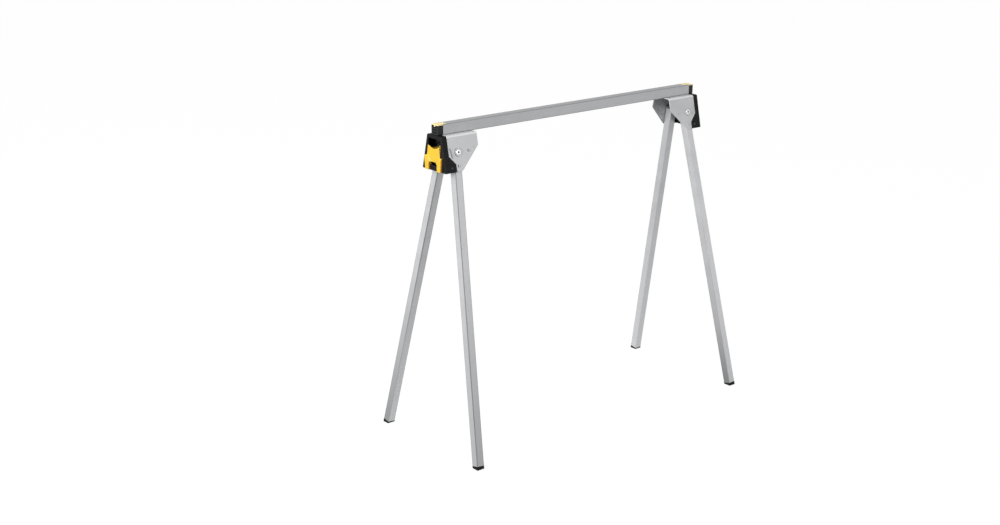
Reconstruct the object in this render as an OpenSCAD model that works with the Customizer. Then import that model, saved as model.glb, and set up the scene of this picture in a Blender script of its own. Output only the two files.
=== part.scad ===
// Folding steel trestle for site work. X runs along the beam, Y across it, Z up from the floor.
// The origin is on the floor, midway between the four feet.

/* [Stand] */
// Height of the working face above the floor
work_height = 780; // [650:5:900]
// Splay of the legs across the beam, in degrees from upright
leg_splay = 12.3; // [11:0.1:13.5]
// Lean of the legs along the beam, in degrees from upright
leg_lean = 4.2; // [3:0.1:5]
// Gap between a folded foot and the open leg at the other end
fold_end_gap = 1.5; // [1:0.5:100]
// Gap between the two folded legs of one side
fold_nest_gap = 2.2; // [1.6:0.1:3]

/* [Beam] */
// Width of the beam tube, across the trestle
beam_width = 25; // [22:1:32]
// Height of the beam tube
beam_height = 25; // [22:1:40]
// Wall of the beam tube
beam_wall = 1.5; // [1.2:0.1:2]
// Outer corner radius of the beam tube
beam_corner = 2.2; // [2:0.1:3]
// Length of the beam tube past each pivot
beam_overhang = 25; // [22:1:27]

/* [End caps] */
// Length of the cap that stands out of the tube
cap_flange = 15; // [12:1:18]
// Length of the plug inside the tube
cap_plug = 28; // [20:1:30]
// Wall of the hollow plug
cap_wall = 2; // [1.5:0.1:3]
// Clearance between a plug and the tube round it
plug_fit = 0.15; // [0.1:0.05:0.3]
// Edge radius of the cap's outer end
cap_edge = 1.5; // [1:0.1:2]
// Width of the louvre slots in the end of the cap
louvre_width = 16; // [12:1:18]
// Height of a louvre slot
louvre_height = 2.4; // [1.6:0.1:3]
// Depth of a louvre slot
louvre_depth = 4; // [2:0.5:6]
// Spacing of the louvre slots
louvre_pitch = 6; // [5:0.1:6.2]
// Slope of the louvre slots, in degrees
louvre_slope = 18; // [0:1:25]

/* [Top inserts] */
// Thickness of the insert over the cap
insert_thickness = 2; // [1.6:0.1:3]
// Length of the insert's tongue in the tube's top wall
tongue_length = 13; // [8:1:18]
// Width of the tongue
tongue_width = 17; // [10:1:17]
// Width of the tab that clips over the end of the cap
tab_width = 5; // [3:0.5:7]
// Length of the tab, down the end of the cap
tab_length = 3.2; // [2:0.1:3.4]
// Thickness of the tab
tab_thickness = 1.2; // [0.8:0.1:2]
// Width of a grip groove across the insert
groove_width = 1; // [0.6:0.1:1.4]
// Depth of a grip groove
groove_depth = 0.5; // [0.3:0.1:0.6]
// Spacing of the grip grooves
groove_pitch = 2.8; // [2:0.1:3]

/* [Saddle brackets] */
// Sheet thickness of the bracket
plate_thickness = 2; // [1.5:0.1:2.5]
// Inside radius of the two bends
bend_radius = 3; // [2:0.1:4]
// Distance from the middle of the trestle to a plate's outer face, at pivot height
plate_offset = 35.2; // [34:0.1:40]
// Drop from the top of the bracket to the pivots
pivot_drop = 39; // [36:0.5:44]
// Reach of the bracket from the pivot towards the middle of the beam
plate_inboard = 60; // [50:1:75]
// Reach of the bracket from the pivot towards the end of the beam
plate_outboard = 27; // [26:0.1:28.5]
// Height of the inboard corner above the pivot
inboard_corner_rise = 9.4; // [0:0.1:15]
// Drop of the outboard corner below the pivot
outboard_corner_drop = 6.8; // [6:0.1:10]
// Drop of the shoulder where the plate narrows to its tip
shoulder_drop = 26.6; // [22:0.1:30]
// Drop of the plate's tip below the pivot
tip_drop = 43.6; // [40:0.1:50]
// Outboard reach of the tip
tip_outboard = 9.4; // [9:0.1:12]
// Inboard reach of the tip
tip_inboard = 7.4; // [6:0.1:12]
// Corner radius of the plates
plate_corner = 3; // [1:0.5:4]
// Radius of the raised boss round the pivot
boss_radius = 9.5; // [8.5:0.1:10.5]
// Height of the raised boss
boss_height = 1; // [0.6:0.1:1.2]
// Distance from the pivot to the leg's button, and so to the dimple and the hole that take it
detent_reach = 31; // [28:0.5:33]
// Radius of the detent dimple
dimple_radius = 4; // [3.4:0.1:4.4]
// Height of the detent dimple
dimple_height = 1.2; // [0.8:0.1:1.4]
// Radius of the bar that the stiffening bead is pressed from
bead_radius = 3; // [2.5:0.1:3.4]
// Height of the stiffening bead
bead_height = 1.1; // [0.6:0.1:1.4]
// Radius of the gauge hole in each plate
gauge_radius = 1.3; // [1:0.1:2]
// Distance from the plate's inboard edge to the gauge hole
gauge_inset = 13; // [11:0.5:16]
// Drop of the gauge hole below the inboard corner
gauge_drop = 2.9; // [0:0.1:3.5]

/* [Saddle rivets] */
// Number of rivets that hold a bracket to the beam
saddle_rivet_count = 3; // [2:1:3]
// Spacing of these rivets
saddle_rivet_pitch = 20; // [15:1:22]
// Distance from the pivot to the first rivet, inboard
saddle_rivet_start = 8; // [8:0.5:12]
// Shank radius of these rivets
saddle_rivet_radius = 2.4; // [2:0.1:2.6]
// Head radius of these rivets
saddle_rivet_head = 4.4; // [4:0.1:5]

/* [Legs] */
// Outer size of the square leg tube
leg_size = 20; // [18:0.5:21]
// Wall of the leg tube
leg_wall = 1.2; // [1:0.1:1.6]
// Outer corner radius of the leg tube
leg_corner = 2; // [1.8:0.1:3]
// Length of the leg above the pivot
leg_stub = 10; // [9:0.5:10]
// Gap between a leg and its plate
leg_gap = 0.8; // [0.8:0.1:1.2]
// Radius of the detent button on the leg
button_radius = 3; // [2.4:0.1:3.4]
// Height of the detent button above the leg's face
button_height = 0.6; // [0.4:0.1:0.6]

/* [Feet] */
// Height of the foot below the tube, at its thinnest corner
foot_lip = 3.5; // [2:0.5:8]
// How far the foot stands proud of the tube's sides
foot_proud = 0.3; // [0:0.1:0.4]
// Length of the foot's plug inside the tube
foot_plug = 24; // [15:1:40]
// Wall of the foot's hollow plug
foot_wall = 2.5; // [2:0.1:3]
// Width of a tread groove in the sole
tread_width = 1.6; // [1:0.1:2]
// Depth of a tread groove
tread_depth = 1; // [0.5:0.1:1.5]
// Spacing of the tread grooves
tread_pitch = 5; // [4:0.5:6]

/* [Pivots] */
// Shank radius of the hollow pivot rivets
rivet_radius = 4; // [3.5:0.1:4.5]
// Bore radius of the hollow pivot rivets
rivet_bore = 2.4; // [2:0.1:2.8]
// Head radius of the pivot rivets
rivet_head = 6.3; // [5.8:0.1:7]
// Head height of the pivot rivets
rivet_head_height = 1.8; // [1.4:0.1:2.2]
// Radial clearance between a turning piece and its rivet
running_gap = 0.05; // [0.03:0.01:0.08]
// Wall of the bush in the leg
bush_wall = 1.6; // [1.2:0.1:2]
// Outer radius of the washer between leg and plate
washer_radius = 7.6; // [7:0.1:8]
// Clearance between the washer and the bracket
washer_gap = 0.2; // [0.15:0.05:0.3]

/* [Housings] */
// Distance from the pivot to the end face of the housing
housing_reach = 41.5; // [39:0.5:46]
// Wall of the housing's end and top
housing_wall = 3; // [2.4:0.1:3.4]
// Drop of the housing's lower edge below the pivot
housing_drop = 44; // [42:0.5:48]
// Thickness of the wall that backs the plate
backing_wall = 2.5; // [2:0.1:2.6]
// How far the housing's sides lie below the plates' outer faces
side_inset = 0.3; // [0.2:0.1:0.6]
// Clearance round the plate's cut edges
plate_gap = 0.4; // [0.3:0.1:0.6]
// Clearance between the housing and the plate that lies on it
seat_gap = 0.05; // [0.02:0.01:0.2]
// Corner radius of the end face
housing_corner = 4; // [2:0.5:6]
// Edge radius of the housing's top
housing_edge = 1.5; // [0.5:0.5:2.5]
// Half the width of the window in the end face
window_half = 23; // [22.6:0.1:23.4]
// Distance from the top of the housing to the window
window_drop = 8.3; // [7:0.1:9]
// Height of the sill under the window
sill_height = 12; // [10:0.5:14]
// Distance from the pivot to the side screws, outboard
screw_outboard = 21.2; // [20.5:0.1:23]
// Height of the side screws above the housing's lower edge
screw_lift = 10; // [9:0.5:11]
// Height of the locating pegs above the side screws
peg_lift = 8.6; // [8:0.1:9.4]
// Radius of a locating peg
peg_radius = 1.7; // [1.4:0.1:2]
// Shank radius of a side screw
screw_radius = 1.6; // [1.4:0.1:1.8]
// Head radius of a side screw
screw_head = 3.1; // [2.8:0.1:3.4]
// Length of a side screw under its head
screw_length = 12; // [9:0.5:14]
// Thickness of the guard wall behind the spring
guard_wall = 1.6; // [1.2:0.1:1.8]

/* [Latches] */
// Upward travel of the latch
latch_travel = 15; // [10:0.5:15]
// Clearance between the latch and the faces it slides on
latch_gap = 0.4; // [0.3:0.05:0.5]
// How far the body of the grip stands out of the end face
body_proud = 2.6; // [2.4:0.1:4]
// How far the wings stand out of the end face
wing_proud = 5.6; // [4.6:0.1:7]
// How far the prongs stand out at their lower ends
prong_proud = 5.2; // [4:0.1:6]
// Half the width of the grip at its ears
ear_half = 20.8; // [19:0.1:21]
// Height of the ears above the pivot
ear_rise = 14; // [12:0.5:15]
// Height of the grip's hollow top edge above the pivot
top_edge_rise = 8; // [6:0.5:10]
// Half the width of the wings at their top
wing_half = 31; // [28:0.5:32]
// Drop of the wings' top below the pivot
wing_drop = 10; // [8:0.5:12]
// Half the width across the prongs' lower ends
prong_half = 28.5; // [26:0.5:30]
// Drop of the prongs' lower ends below the pivot
prong_drop = 43; // [38:0.5:44]
// Half the width of the finger arch
arch_half = 15.5; // [14:0.5:16]
// Drop of the top of the finger arch below the pivot
arch_drop = 23.4; // [21:0.1:25]
// Corner radius of the finger arch
arch_corner = 5; // [3:0.5:8]
// Radius of the hollow in the grip's face
dish_radius = 60; // [40:5:90]
// Depth of the hollow in the grip's face
dish_depth = 1.2; // [0.8:0.1:1.6]
// Thickness of the latch's slide plate behind the end face
slide_thickness = 2.6; // [2:0.1:3.2]
// How far the slide plate reaches past the window's side
slide_overlap = 1.8; // [1.2:0.1:2]
// Gap between the lock tongues and the path of the legs
lock_gap = 0.8; // [0.6:0.1:1.5]

/* [Springs] */
// Outer radius of the latch spring
spring_radius = 4; // [3.5:0.1:4.5]
// Wire diameter of the latch spring
spring_wire = 1; // [0.8:0.1:1.2]
// Number of turns of the latch spring
spring_turns = 7; // [5:1:8]
// Distance from the pivot to the spring's middle, outboard
spring_outboard = 23.8; // [23:0.1:24.5]

/* [Hidden] */
$fn = 48;

LEFT = -1;
RIGHT = 1;
FRONT = -1;
BACK = 1;

STEEL = "#b4b6b9";
BRIGHT_STEEL = "#d4d6d8";
BLACK_PLASTIC = "#26272a";
YELLOW_PLASTIC = "#f3c222";

// Flat steps in each rounded corner of an outline, and in each bend of the sheet
corner_steps = 6;
bend_steps = 10;
// Overlap that makes a cut or a joint between two forms clean
over = 1;
// Longer than any piece
beyond = 3 * work_height;

// Heights
beam_bottom = work_height - beam_height;
pivot_height = beam_bottom - pivot_drop;

// The legs, in the frame of their plate: depth counts inwards from the plate's outer face
leg_half = leg_size / 2;
leg_outer_depth = plate_thickness + leg_gap;
leg_inner_depth = leg_outer_depth + leg_size;
leg_middle_depth = leg_outer_depth + leg_half;
slope_to_floor = function(depth) (pivot_height - depth * sin(leg_splay)) / cos(leg_splay);
leg_long_reach = (slope_to_floor(leg_outer_depth) + leg_half * sin(leg_lean)) / cos(leg_lean);
leg_short_reach = (slope_to_floor(leg_inner_depth) - leg_half * sin(leg_lean)) / cos(leg_lean);
tube_reach = leg_short_reach - foot_lip;
leg_sweep = norm([leg_half, leg_stub]);

// Spacing of the pivots: the folded legs lie side by side and end just short of the open ones
nest_pitch = leg_size + fold_nest_gap;
open_leg_edge = leg_half / cos(leg_lean) - (nest_pitch + leg_half) * tan(leg_lean);
pivot_span = leg_long_reach + open_leg_edge + fold_end_gap;
pivot_x = pivot_span / 2;
fold_tilt = asin(nest_pitch / pivot_span);
beam_length = pivot_span + 2 * beam_overhang;
echo(fold_left = 90 + leg_lean + fold_tilt, fold_right = 90 + leg_lean - fold_tilt, pivot_x = pivot_x);

// The bracket's bends, measured up the plate from the pivot
bend_outer = bend_radius + plate_thickness;
bend_turn = 90 - leg_splay;
plate_top = pivot_drop / cos(leg_splay) - bend_outer * tan(bend_turn / 2);

// The housing
collar_start = plate_outboard + plate_gap;
skin_leg_gap = 0.5;
skin_depth = leg_outer_depth - skin_leg_gap;
backing_depth = plate_thickness + backing_wall;
backing_start = leg_sweep + 1;
backing_rise = pivot_drop - bend_outer - 1;
screw_drop = housing_drop - screw_lift;
peg_drop = screw_drop - peg_lift;
brace_margin = 6;
brace_middle = -(screw_drop + peg_drop) / 2;
brace_height = screw_drop - peg_drop + 2 * brace_margin;
window_top = pivot_drop - window_drop;
sill_top = sill_height - housing_drop;
window_corner = 2;
end_wall_inner = housing_reach - housing_wall;

// The latch
slide_outer = end_wall_inner - latch_gap;
slide_inner = slide_outer - slide_thickness;
slide_half = window_half + slide_overlap;
slide_top = 6;
slide_bottom = -18;
grip_back = housing_reach + latch_gap;
core_half = window_half - latch_gap;
core_bottom = sill_top + latch_gap / 2;
tongue_end = leg_sweep + lock_gap;
tongue_near = 15;
tongue_far = 21;
tongue_bottom = 1;
shelf_half = 5.5;
shelf_bottom = 3;
spring_seat_top = pivot_drop - plate_thickness;
post_radius = spring_radius - spring_wire - 0.4;
post_height = 6;

// Half the distance between two surfaces that lie depth below the plates' outer faces, at a rise above the pivots
function half_width(rise, depth) = plate_offset - rise * tan(leg_splay) - depth / cos(leg_splay);

function unit(v) = v / norm(v);

function turn_between(a, b) = let (d = b - a) d > 180 ? d - 360 : d < -180 ? d + 360 : d;

// Points of the arc of radius r that rounds the corner at b, between the corners a and c
function corner_arc(a, b, c, r, steps) =
    let (to_a = unit(a - b), to_c = unit(c - b), half = acos(to_a * to_c) / 2)
    let (middle = b + unit(to_a + to_c) * r / sin(half))
    let (p = b + to_a * r / tan(half) - middle, q = b + to_c * r / tan(half) - middle)
    let (start = atan2(p.y, p.x), turn = turn_between(start, atan2(q.y, q.x)))
    [for (i = [0:steps]) middle + r * [cos(start + turn * i / steps), sin(start + turn * i / steps)]];

// An outline whose corners have the given radii
function rounded(corners, radii, steps = corner_steps) =
    let (n = len(corners))
    [for (i = [0:n - 1]) each (radii[i] == 0
        ? [corners[i]]
        : corner_arc(corners[(i + n - 1) % n], corners[i], corners[(i + 1) % n], radii[i], steps))];

module rounded_rectangle(width, height, radius) {
    for (x = [-1, 1], y = [-1, 1])
        translate([x * (width / 2 - radius), y * (height / 2 - radius)]) circle(radius);
    square([width - 2 * radius, height], center = true);
    square([width, height - 2 * radius], center = true);
}

module tube_section(width, height, wall, radius) {
    difference() {
        rounded_rectangle(width, height, radius);
        rounded_rectangle(width - 2 * wall, height - 2 * wall, max(radius - wall, 0.4));
    }
}

// Turns a flat section in Y and Z into a bar along X
module along_x(from, to) {
    translate([from, 0, 0]) rotate([90, 0, 90]) linear_extrude(to - from) children();
}

// Turns a flat outline in X and Z into a slab that starts at depth from and ends at depth to, inwards along -Y
module slab(from, to) {
    translate([0, -from, 0]) rotate([90, 0, 0]) linear_extrude(to - from) children();
}

module flip_x(flip) {
    if (flip) mirror([1, 0, 0]) children();
    else children();
}

module flip_y(flip) {
    if (flip) mirror([0, 1, 0]) children();
    else children();
}

// One end of the trestle: X counts outboard from the pivots, Z up from them
module at_end(end) {
    flip_x(end == LEFT) translate([pivot_x, 0, pivot_height]) children();
}

// The frame of one side plate: X outboard and Z up the plate from the pivot, Y out of the plate's outer face
module on_plate(side) {
    flip_y(side == FRONT) translate([0, plate_offset, 0]) rotate([leg_splay, 0, 0]) children();
}

module at_plate(end, side) {
    at_end(end) on_plate(side) children();
}

// The frame of one leg: the origin where the pivot crosses the tube's middle, Z along the tube
module in_leg(end, side) {
    at_plate(end, side) translate([0, -leg_middle_depth, 0]) rotate([0, -leg_lean, 0]) children();
}

// A round bar along the plate's normal, between two depths below its outer face
module across_plate(from, to, radius) {
    translate([0, -from, 0]) rotate([90, 0, 0]) cylinder(h = to - from, r = radius);
}

// Beam

module beam_tube() {
    color(STEEL)
    difference() {
        translate([0, 0, beam_bottom + beam_height / 2])
            along_x(-beam_length / 2, beam_length / 2)
                tube_section(beam_width, beam_height, beam_wall, beam_corner);
        for (end = [LEFT, RIGHT]) {
            at_end(end) insert_notch();
            at_end(end) saddle_rivet_spots()
                translate([0, 0, -over]) cylinder(h = beam_wall + 2 * over, r = saddle_rivet_radius + running_gap);
        }
    }
}

module insert_notch() {
    notch_width = tongue_width + 2 * plug_fit;
    notch_length = tongue_length + plug_fit;
    translate([beam_overhang - notch_length, -notch_width / 2, pivot_drop + beam_height - beam_wall])
        cube([notch_length + over, notch_width, beam_wall + over]);
}

module saddle_rivet_spots() {
    for (i = [0:saddle_rivet_count - 1])
        translate([-saddle_rivet_start - i * saddle_rivet_pitch, 0, pivot_drop]) children();
}

// End caps and inserts

cap_end = beam_overhang + cap_flange;

module cap_section() {
    translate([0, pivot_drop + beam_height / 2]) rounded_rectangle(beam_width, beam_height, beam_corner);
}

// Side view of the cap with its outer edges rounded
module cap_side_view() {
    top = pivot_drop + beam_height;
    corners = [[beam_overhang, pivot_drop], [cap_end, pivot_drop], [cap_end, top], [beam_overhang, top]];
    polygon(rounded(corners, [0, cap_edge, cap_edge, 0]));
}

module cap_block() {
    intersection() {
        along_x(beam_overhang, cap_end) cap_section();
        slab(-beam_width, beam_width) cap_side_view();
    }
}

// The space above the cap that the insert fills
module insert_space() {
    translate([beam_overhang - over, -beam_width, pivot_drop + beam_height - insert_thickness])
        cube([cap_flange + 2 * over, 2 * beam_width, beam_height]);
}

module tab_space(fit) {
    translate([cap_end - tab_thickness, -tab_width / 2 - fit, pivot_drop + beam_height - insert_thickness - tab_length])
        cube([tab_thickness + over, tab_width + 2 * fit, tab_length + over]);
}

module cap_plug_body() {
    width = beam_width - 2 * beam_wall - 2 * plug_fit;
    height = beam_height - 2 * beam_wall - 2 * plug_fit;
    inner_corner = max(beam_corner - beam_wall, 0.4);
    translate([0, 0, pivot_drop + beam_height / 2])
        along_x(beam_overhang - cap_plug, beam_overhang + over) rounded_rectangle(width, height, inner_corner);
}

module cap_plug_pocket() {
    width = beam_width - 2 * beam_wall - 2 * cap_wall - 2 * plug_fit;
    height = beam_height - 2 * beam_wall - 2 * cap_wall - 2 * plug_fit;
    translate([beam_overhang - cap_plug - over, -width / 2, pivot_drop + beam_height / 2 - height / 2])
        cube([cap_plug + over, width, height]);
}

module louvres() {
    face_middle = pivot_drop + (beam_height - insert_thickness) / 2;
    for (i = [-1:1])
        translate([cap_end, 0, face_middle - tab_length / 3 + i * louvre_pitch]) rotate([0, louvre_slope, 0])
            cube([2 * louvre_depth, louvre_width, louvre_height], center = true);
}

module end_cap(end) {
    color(BLACK_PLASTIC)
    at_end(end)
    difference() {
        union() {
            cap_block();
            cap_plug_body();
        }
        cap_plug_pocket();
        louvres();
        insert_space();
        tab_space(plug_fit);
    }
}

module insert_grooves() {
    count = floor((cap_flange + tongue_length) / groove_pitch);
    for (i = [1:count - 1])
        translate([cap_end - i * groove_pitch, 0, pivot_drop + beam_height])
            cube([groove_width, tongue_width - 2, 2 * groove_depth], center = true);
}

module top_insert(end) {
    color(YELLOW_PLASTIC)
    at_end(end)
    difference() {
        union() {
            intersection() {
                cap_block();
                insert_space();
            }
            intersection() {
                cap_block();
                tab_space(0);
            }
            translate([beam_overhang - tongue_length, -tongue_width / 2, pivot_drop + beam_height - beam_wall])
                cube([tongue_length + over, tongue_width, beam_wall]);
        }
        insert_grooves();
    }
}

// Saddle brackets

// End view between two surfaces that slope as the plates do, at a depth below their outer faces
module sloped_section(depth, top, bottom, top_round, bottom_round, steps = corner_steps) {
    corners = [
        [-half_width(bottom, depth), bottom],
        [half_width(bottom, depth), bottom],
        [half_width(top, depth), top],
        [-half_width(top, depth), top]
    ];
    polygon(rounded(corners, [bottom_round, bottom_round, top_round, top_round], steps));
}

// The folded sheet, seen from the end
module saddle_section() {
    low = -tip_drop - over;
    difference() {
        sloped_section(0, pivot_drop, low, bend_outer, 0, bend_steps);
        sloped_section(plate_thickness, pivot_drop - plate_thickness, low - over, bend_radius, 0, bend_steps);
    }
}

module plate_outline() {
    above = plate_top + beyond;
    corners = [
        [plate_outboard, above],
        [-plate_inboard, above],
        [-plate_inboard, inboard_corner_rise],
        [-tip_inboard, -tip_drop],
        [tip_outboard, -tip_drop],
        [tip_outboard, -shoulder_drop],
        [plate_outboard, -outboard_corner_drop]
    ];
    polygon(rounded(corners, [0, 0, plate_corner, plate_corner, plate_corner / 2, plate_corner, plate_corner]));
}

// What is cut from a plate, below and beside its outline
module plate_trim() {
    slab(-3 * over, plate_thickness + over) difference() {
        translate([-plate_inboard - over, -tip_drop - 4 * over])
            square([plate_inboard + plate_outboard + 2 * over, tip_drop + inboard_corner_rise + 2 * plate_corner + 4 * over]);
        plate_outline();
    }
}

// A low dome pressed out of a face at y = 0, or the hollow behind it
module dome(radius, height) {
    ball = (radius * radius + height * height) / (2 * height);
    translate([0, height - ball, 0]) sphere(ball);
}

// Where the leg's button lies when the leg is open
module open_spot() {
    translate([detent_reach * sin(leg_lean), 0, -detent_reach * cos(leg_lean)]) children();
}

// Where it lies when the leg is folded
module folded_spot(end) {
    translate([-detent_reach * cos(fold_tilt), 0, -end * detent_reach * sin(fold_tilt)]) children();
}

// Ends of the stiffening bead, which follows the plate's outboard edge
bead_reach = 9.5;
bead_top = [plate_outboard - 5.4, bead_reach];
bead_foot = [plate_outboard - 9.6, -bead_reach];

module bead() {
    run = bead_foot - bead_top;
    sink = bead_radius - bead_height;
    translate([bead_top.x, -sink, bead_top.y]) rotate([0, atan2(run.x, run.y), 0]) rotate_extrude() intersection() {
        union() {
            circle(bead_radius);
            translate([0, norm(run)]) circle(bead_radius);
            translate([-bead_radius, 0]) square([2 * bead_radius, norm(run)]);
        }
        translate([0, -bead_radius]) square([bead_radius, norm(run) + 2 * bead_radius]);
    }
}

// Everything that is pressed out of a plate, cut off at the plate's inner face
module plate_pressings() {
    intersection() {
        union() {
            rotate([-90, 0, 0]) translate([0, 0, -over])
                cylinder(h = boss_height + over, r1 = boss_radius + boss_height + over, r2 = boss_radius);
            open_spot() dome(dimple_radius, dimple_height);
            bead();
        }
        translate([-plate_inboard, -plate_thickness / 2, -tip_drop]) cube([2 * plate_inboard, beyond, 2 * tip_drop]);
    }
}

module plate_hollows(end) {
    recess = dimple_height - 0.2;
    across_plate(plate_thickness - boss_height, plate_thickness + over, boss_radius - 1);
    across_plate(-boss_height - over, plate_thickness + over, rivet_radius + running_gap);
    translate([0, -plate_thickness, 0]) open_spot() dome(dimple_radius - 0.5, recess);
    folded_spot(end) across_plate(-over, plate_thickness + over, button_radius + plate_gap);
    translate([gauge_inset - plate_inboard, 0, inboard_corner_rise - gauge_drop])
        across_plate(-over, plate_thickness + over, gauge_radius);
}

module saddle(end) {
    color(STEEL)
    at_end(end) {
        difference() {
            union() {
                along_x(-plate_inboard, plate_outboard) saddle_section();
                for (side = [FRONT, BACK]) on_plate(side) plate_pressings();
            }
            for (side = [FRONT, BACK]) on_plate(side) {
                plate_trim();
                plate_hollows(end);
            }
            saddle_rivet_spots()
                translate([0, 0, -plate_thickness - over])
                    cylinder(h = plate_thickness + 2 * over, r = saddle_rivet_radius + running_gap);
        }
    }
}

// A blind rivet: head under the flange, shank through flange and tube wall, bulb inside the tube
module saddle_rivet() {
    head = 1.3;
    bulb = 3;
    edge = saddle_rivet_radius - 1;
    rotate_extrude() polygon([
        [0, -plate_thickness - head],
        [saddle_rivet_head - 1, -plate_thickness - head],
        [saddle_rivet_head, -plate_thickness - head / 3],
        [saddle_rivet_head, -plate_thickness],
        [saddle_rivet_radius, -plate_thickness],
        [saddle_rivet_radius, beam_wall],
        [saddle_rivet_radius + 1, beam_wall],
        [saddle_rivet_radius + 1, beam_wall + bulb * 0.6],
        [edge, beam_wall + bulb],
        [0, beam_wall + bulb]
    ]);
}

module saddle_rivets(end) {
    color(BRIGHT_STEEL) at_end(end) saddle_rivet_spots() saddle_rivet();
}

// Housings

// Side view of the housing's outer form
module housing_side_view() {
    start = tip_outboard + plate_gap;
    toe_round = 2;
    heel_round = 1;
    corners = [[start, -housing_drop], [housing_reach, -housing_drop], [housing_reach, pivot_drop], [start, pivot_drop]];
    polygon(rounded(corners, [toe_round, heel_round, housing_edge, 0]));
}

module housing_form() {
    intersection() {
        along_x(tip_outboard, housing_reach + over)
            sloped_section(side_inset, pivot_drop, -housing_drop, housing_corner, housing_corner / 2);
        slab(-2 * plate_offset, 2 * plate_offset) housing_side_view();
    }
}

// The space inside the housing's walls
module housing_inside() {
    along_x(0, end_wall_inner)
        sloped_section(backing_depth, pivot_drop - housing_wall, -housing_drop - over, housing_corner / 2, 0);
    // Beside the legs only the thin outer wall is left
    along_x(0, backing_start) sloped_section(skin_depth, pivot_drop + over, -housing_drop - over, 0, 0);
    // The bracket's flange and bends lie over the walls that back the plates
    translate([0, -plate_offset, backing_rise]) cube([collar_start, 2 * plate_offset, pivot_drop]);
    // Pocket round the top of the spring
    translate([spring_outboard, 0, 0]) cylinder(h = spring_seat_top, r = spring_radius + latch_gap);
}

// The bracket's plate with its clearance
module seat_outline() {
    above = plate_top + beyond;
    edge = tip_outboard + plate_gap;
    polygon([
        [0, above],
        [0, -housing_drop],
        [edge - over, -housing_drop],
        [edge, -shoulder_drop - plate_gap / 2],
        [collar_start, -outboard_corner_drop - plate_gap / 2],
        [collar_start, above]
    ]);
}

// Seat of the plate in the housing's side, open towards the leg
module plate_seat() {
    slab(-3 * over, plate_thickness + seat_gap) seat_outline();
    slab(0, backing_depth + over) intersection() {
        seat_outline();
        translate([0, -beyond / 2]) square([backing_start + plate_gap / 2, beyond]);
    }
}

// A wall behind the spring that closes the view into the bracket, clear of the latch's travel
module guard() {
    top = backing_rise - over;
    split = slide_top + latch_travel + lock_gap;
    foot = brace_middle + brace_height / 2 + plate_gap;
    outer = spring_outboard - shelf_half - latch_gap;
    half = tongue_near - lock_gap;
    along_x(outer - guard_wall, outer) {
        sloped_section(backing_depth - over, top, split, 0, 0);
        translate([-half, foot]) square([2 * half, split - foot + over]);
    }
}

module window_cut() {
    height = window_top - sill_top;
    translate([0, 0, sill_top + height / 2])
        along_x(end_wall_inner - over, housing_reach + over) rounded_rectangle(2 * window_half, height, window_corner);
}

module side_screw_spot() {
    translate([screw_outboard, 0, -screw_drop]) children();
}

module peg_spot() {
    translate([screw_outboard, 0, -peg_drop]) children();
}

screw_seat = side_inset + 1;

module housing_side_holes() {
    side_screw_spot() {
        across_plate(-over, screw_seat, screw_head + 2 * running_gap);
        across_plate(0, backing_depth + over, screw_radius + 4 * running_gap);
    }
    peg_spot() across_plate(-over, backing_depth + over, peg_radius + 2 * running_gap);
}

module latch_housing(end) {
    color(BLACK_PLASTIC)
    at_end(end)
    union() {
        difference() {
            housing_form();
            housing_inside();
            window_cut();
            for (side = [FRONT, BACK]) on_plate(side) {
                plate_seat();
                housing_side_holes();
            }
        }
        guard();
    }
}

brace_depth = 9;

// Section of the brace: a moulded I shape between the housing's side walls
module brace_section() {
    rib = 2.5;
    web = 4;
    translate([screw_outboard, brace_middle]) difference() {
        rounded_rectangle(brace_depth, brace_height, 1);
        for (side = [-1, 1])
            translate([side * brace_depth / 2, 0])
                square([brace_depth - web, brace_height - 2 * rib], center = true);
    }
}

// Solid end of the brace, which takes the screw and carries the peg
module brace_end() {
    slab(backing_depth + running_gap, backing_depth + screw_length - 1)
        translate([screw_outboard, brace_middle]) rounded_rectangle(brace_depth, brace_height, 1);
}

module cross_brace(end) {
    color(BLACK_PLASTIC)
    at_end(end)
    difference() {
        union() {
            intersection() {
                slab(-plate_offset * 2, plate_offset * 2) brace_section();
                along_x(0, housing_reach) sloped_section(backing_depth + running_gap, 0, -housing_drop, 0, 0);
            }
            for (side = [FRONT, BACK]) on_plate(side) {
                brace_end();
                peg_spot() across_plate(side_inset + running_gap, backing_depth + over, peg_radius);
            }
        }
        for (side = [FRONT, BACK]) on_plate(side)
            side_screw_spot() across_plate(backing_depth - over, screw_seat + screw_length + 2 * running_gap,
                screw_radius + running_gap);
    }
}

// A pan-head screw with a cross recess, under its head from the housing's side into the brace
module housing_screw() {
    arm = 0.6 * screw_head;
    slot_width = 0.8;
    slot_depth = 0.6;
    difference() {
        union() {
            across_plate(side_inset, screw_seat, screw_head);
            across_plate(side_inset, screw_seat + screw_length, screw_radius);
        }
        for (turn = [0, 90])
            rotate([0, turn, 0]) translate([-arm, -side_inset - slot_depth, -slot_width / 2])
                cube([2 * arm, over + slot_depth, slot_width]);
    }
}

module housing_screws(end) {
    color(BRIGHT_STEEL)
    for (side = [FRONT, BACK]) at_plate(end, side) side_screw_spot() housing_screw();
}

// Latches

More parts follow.
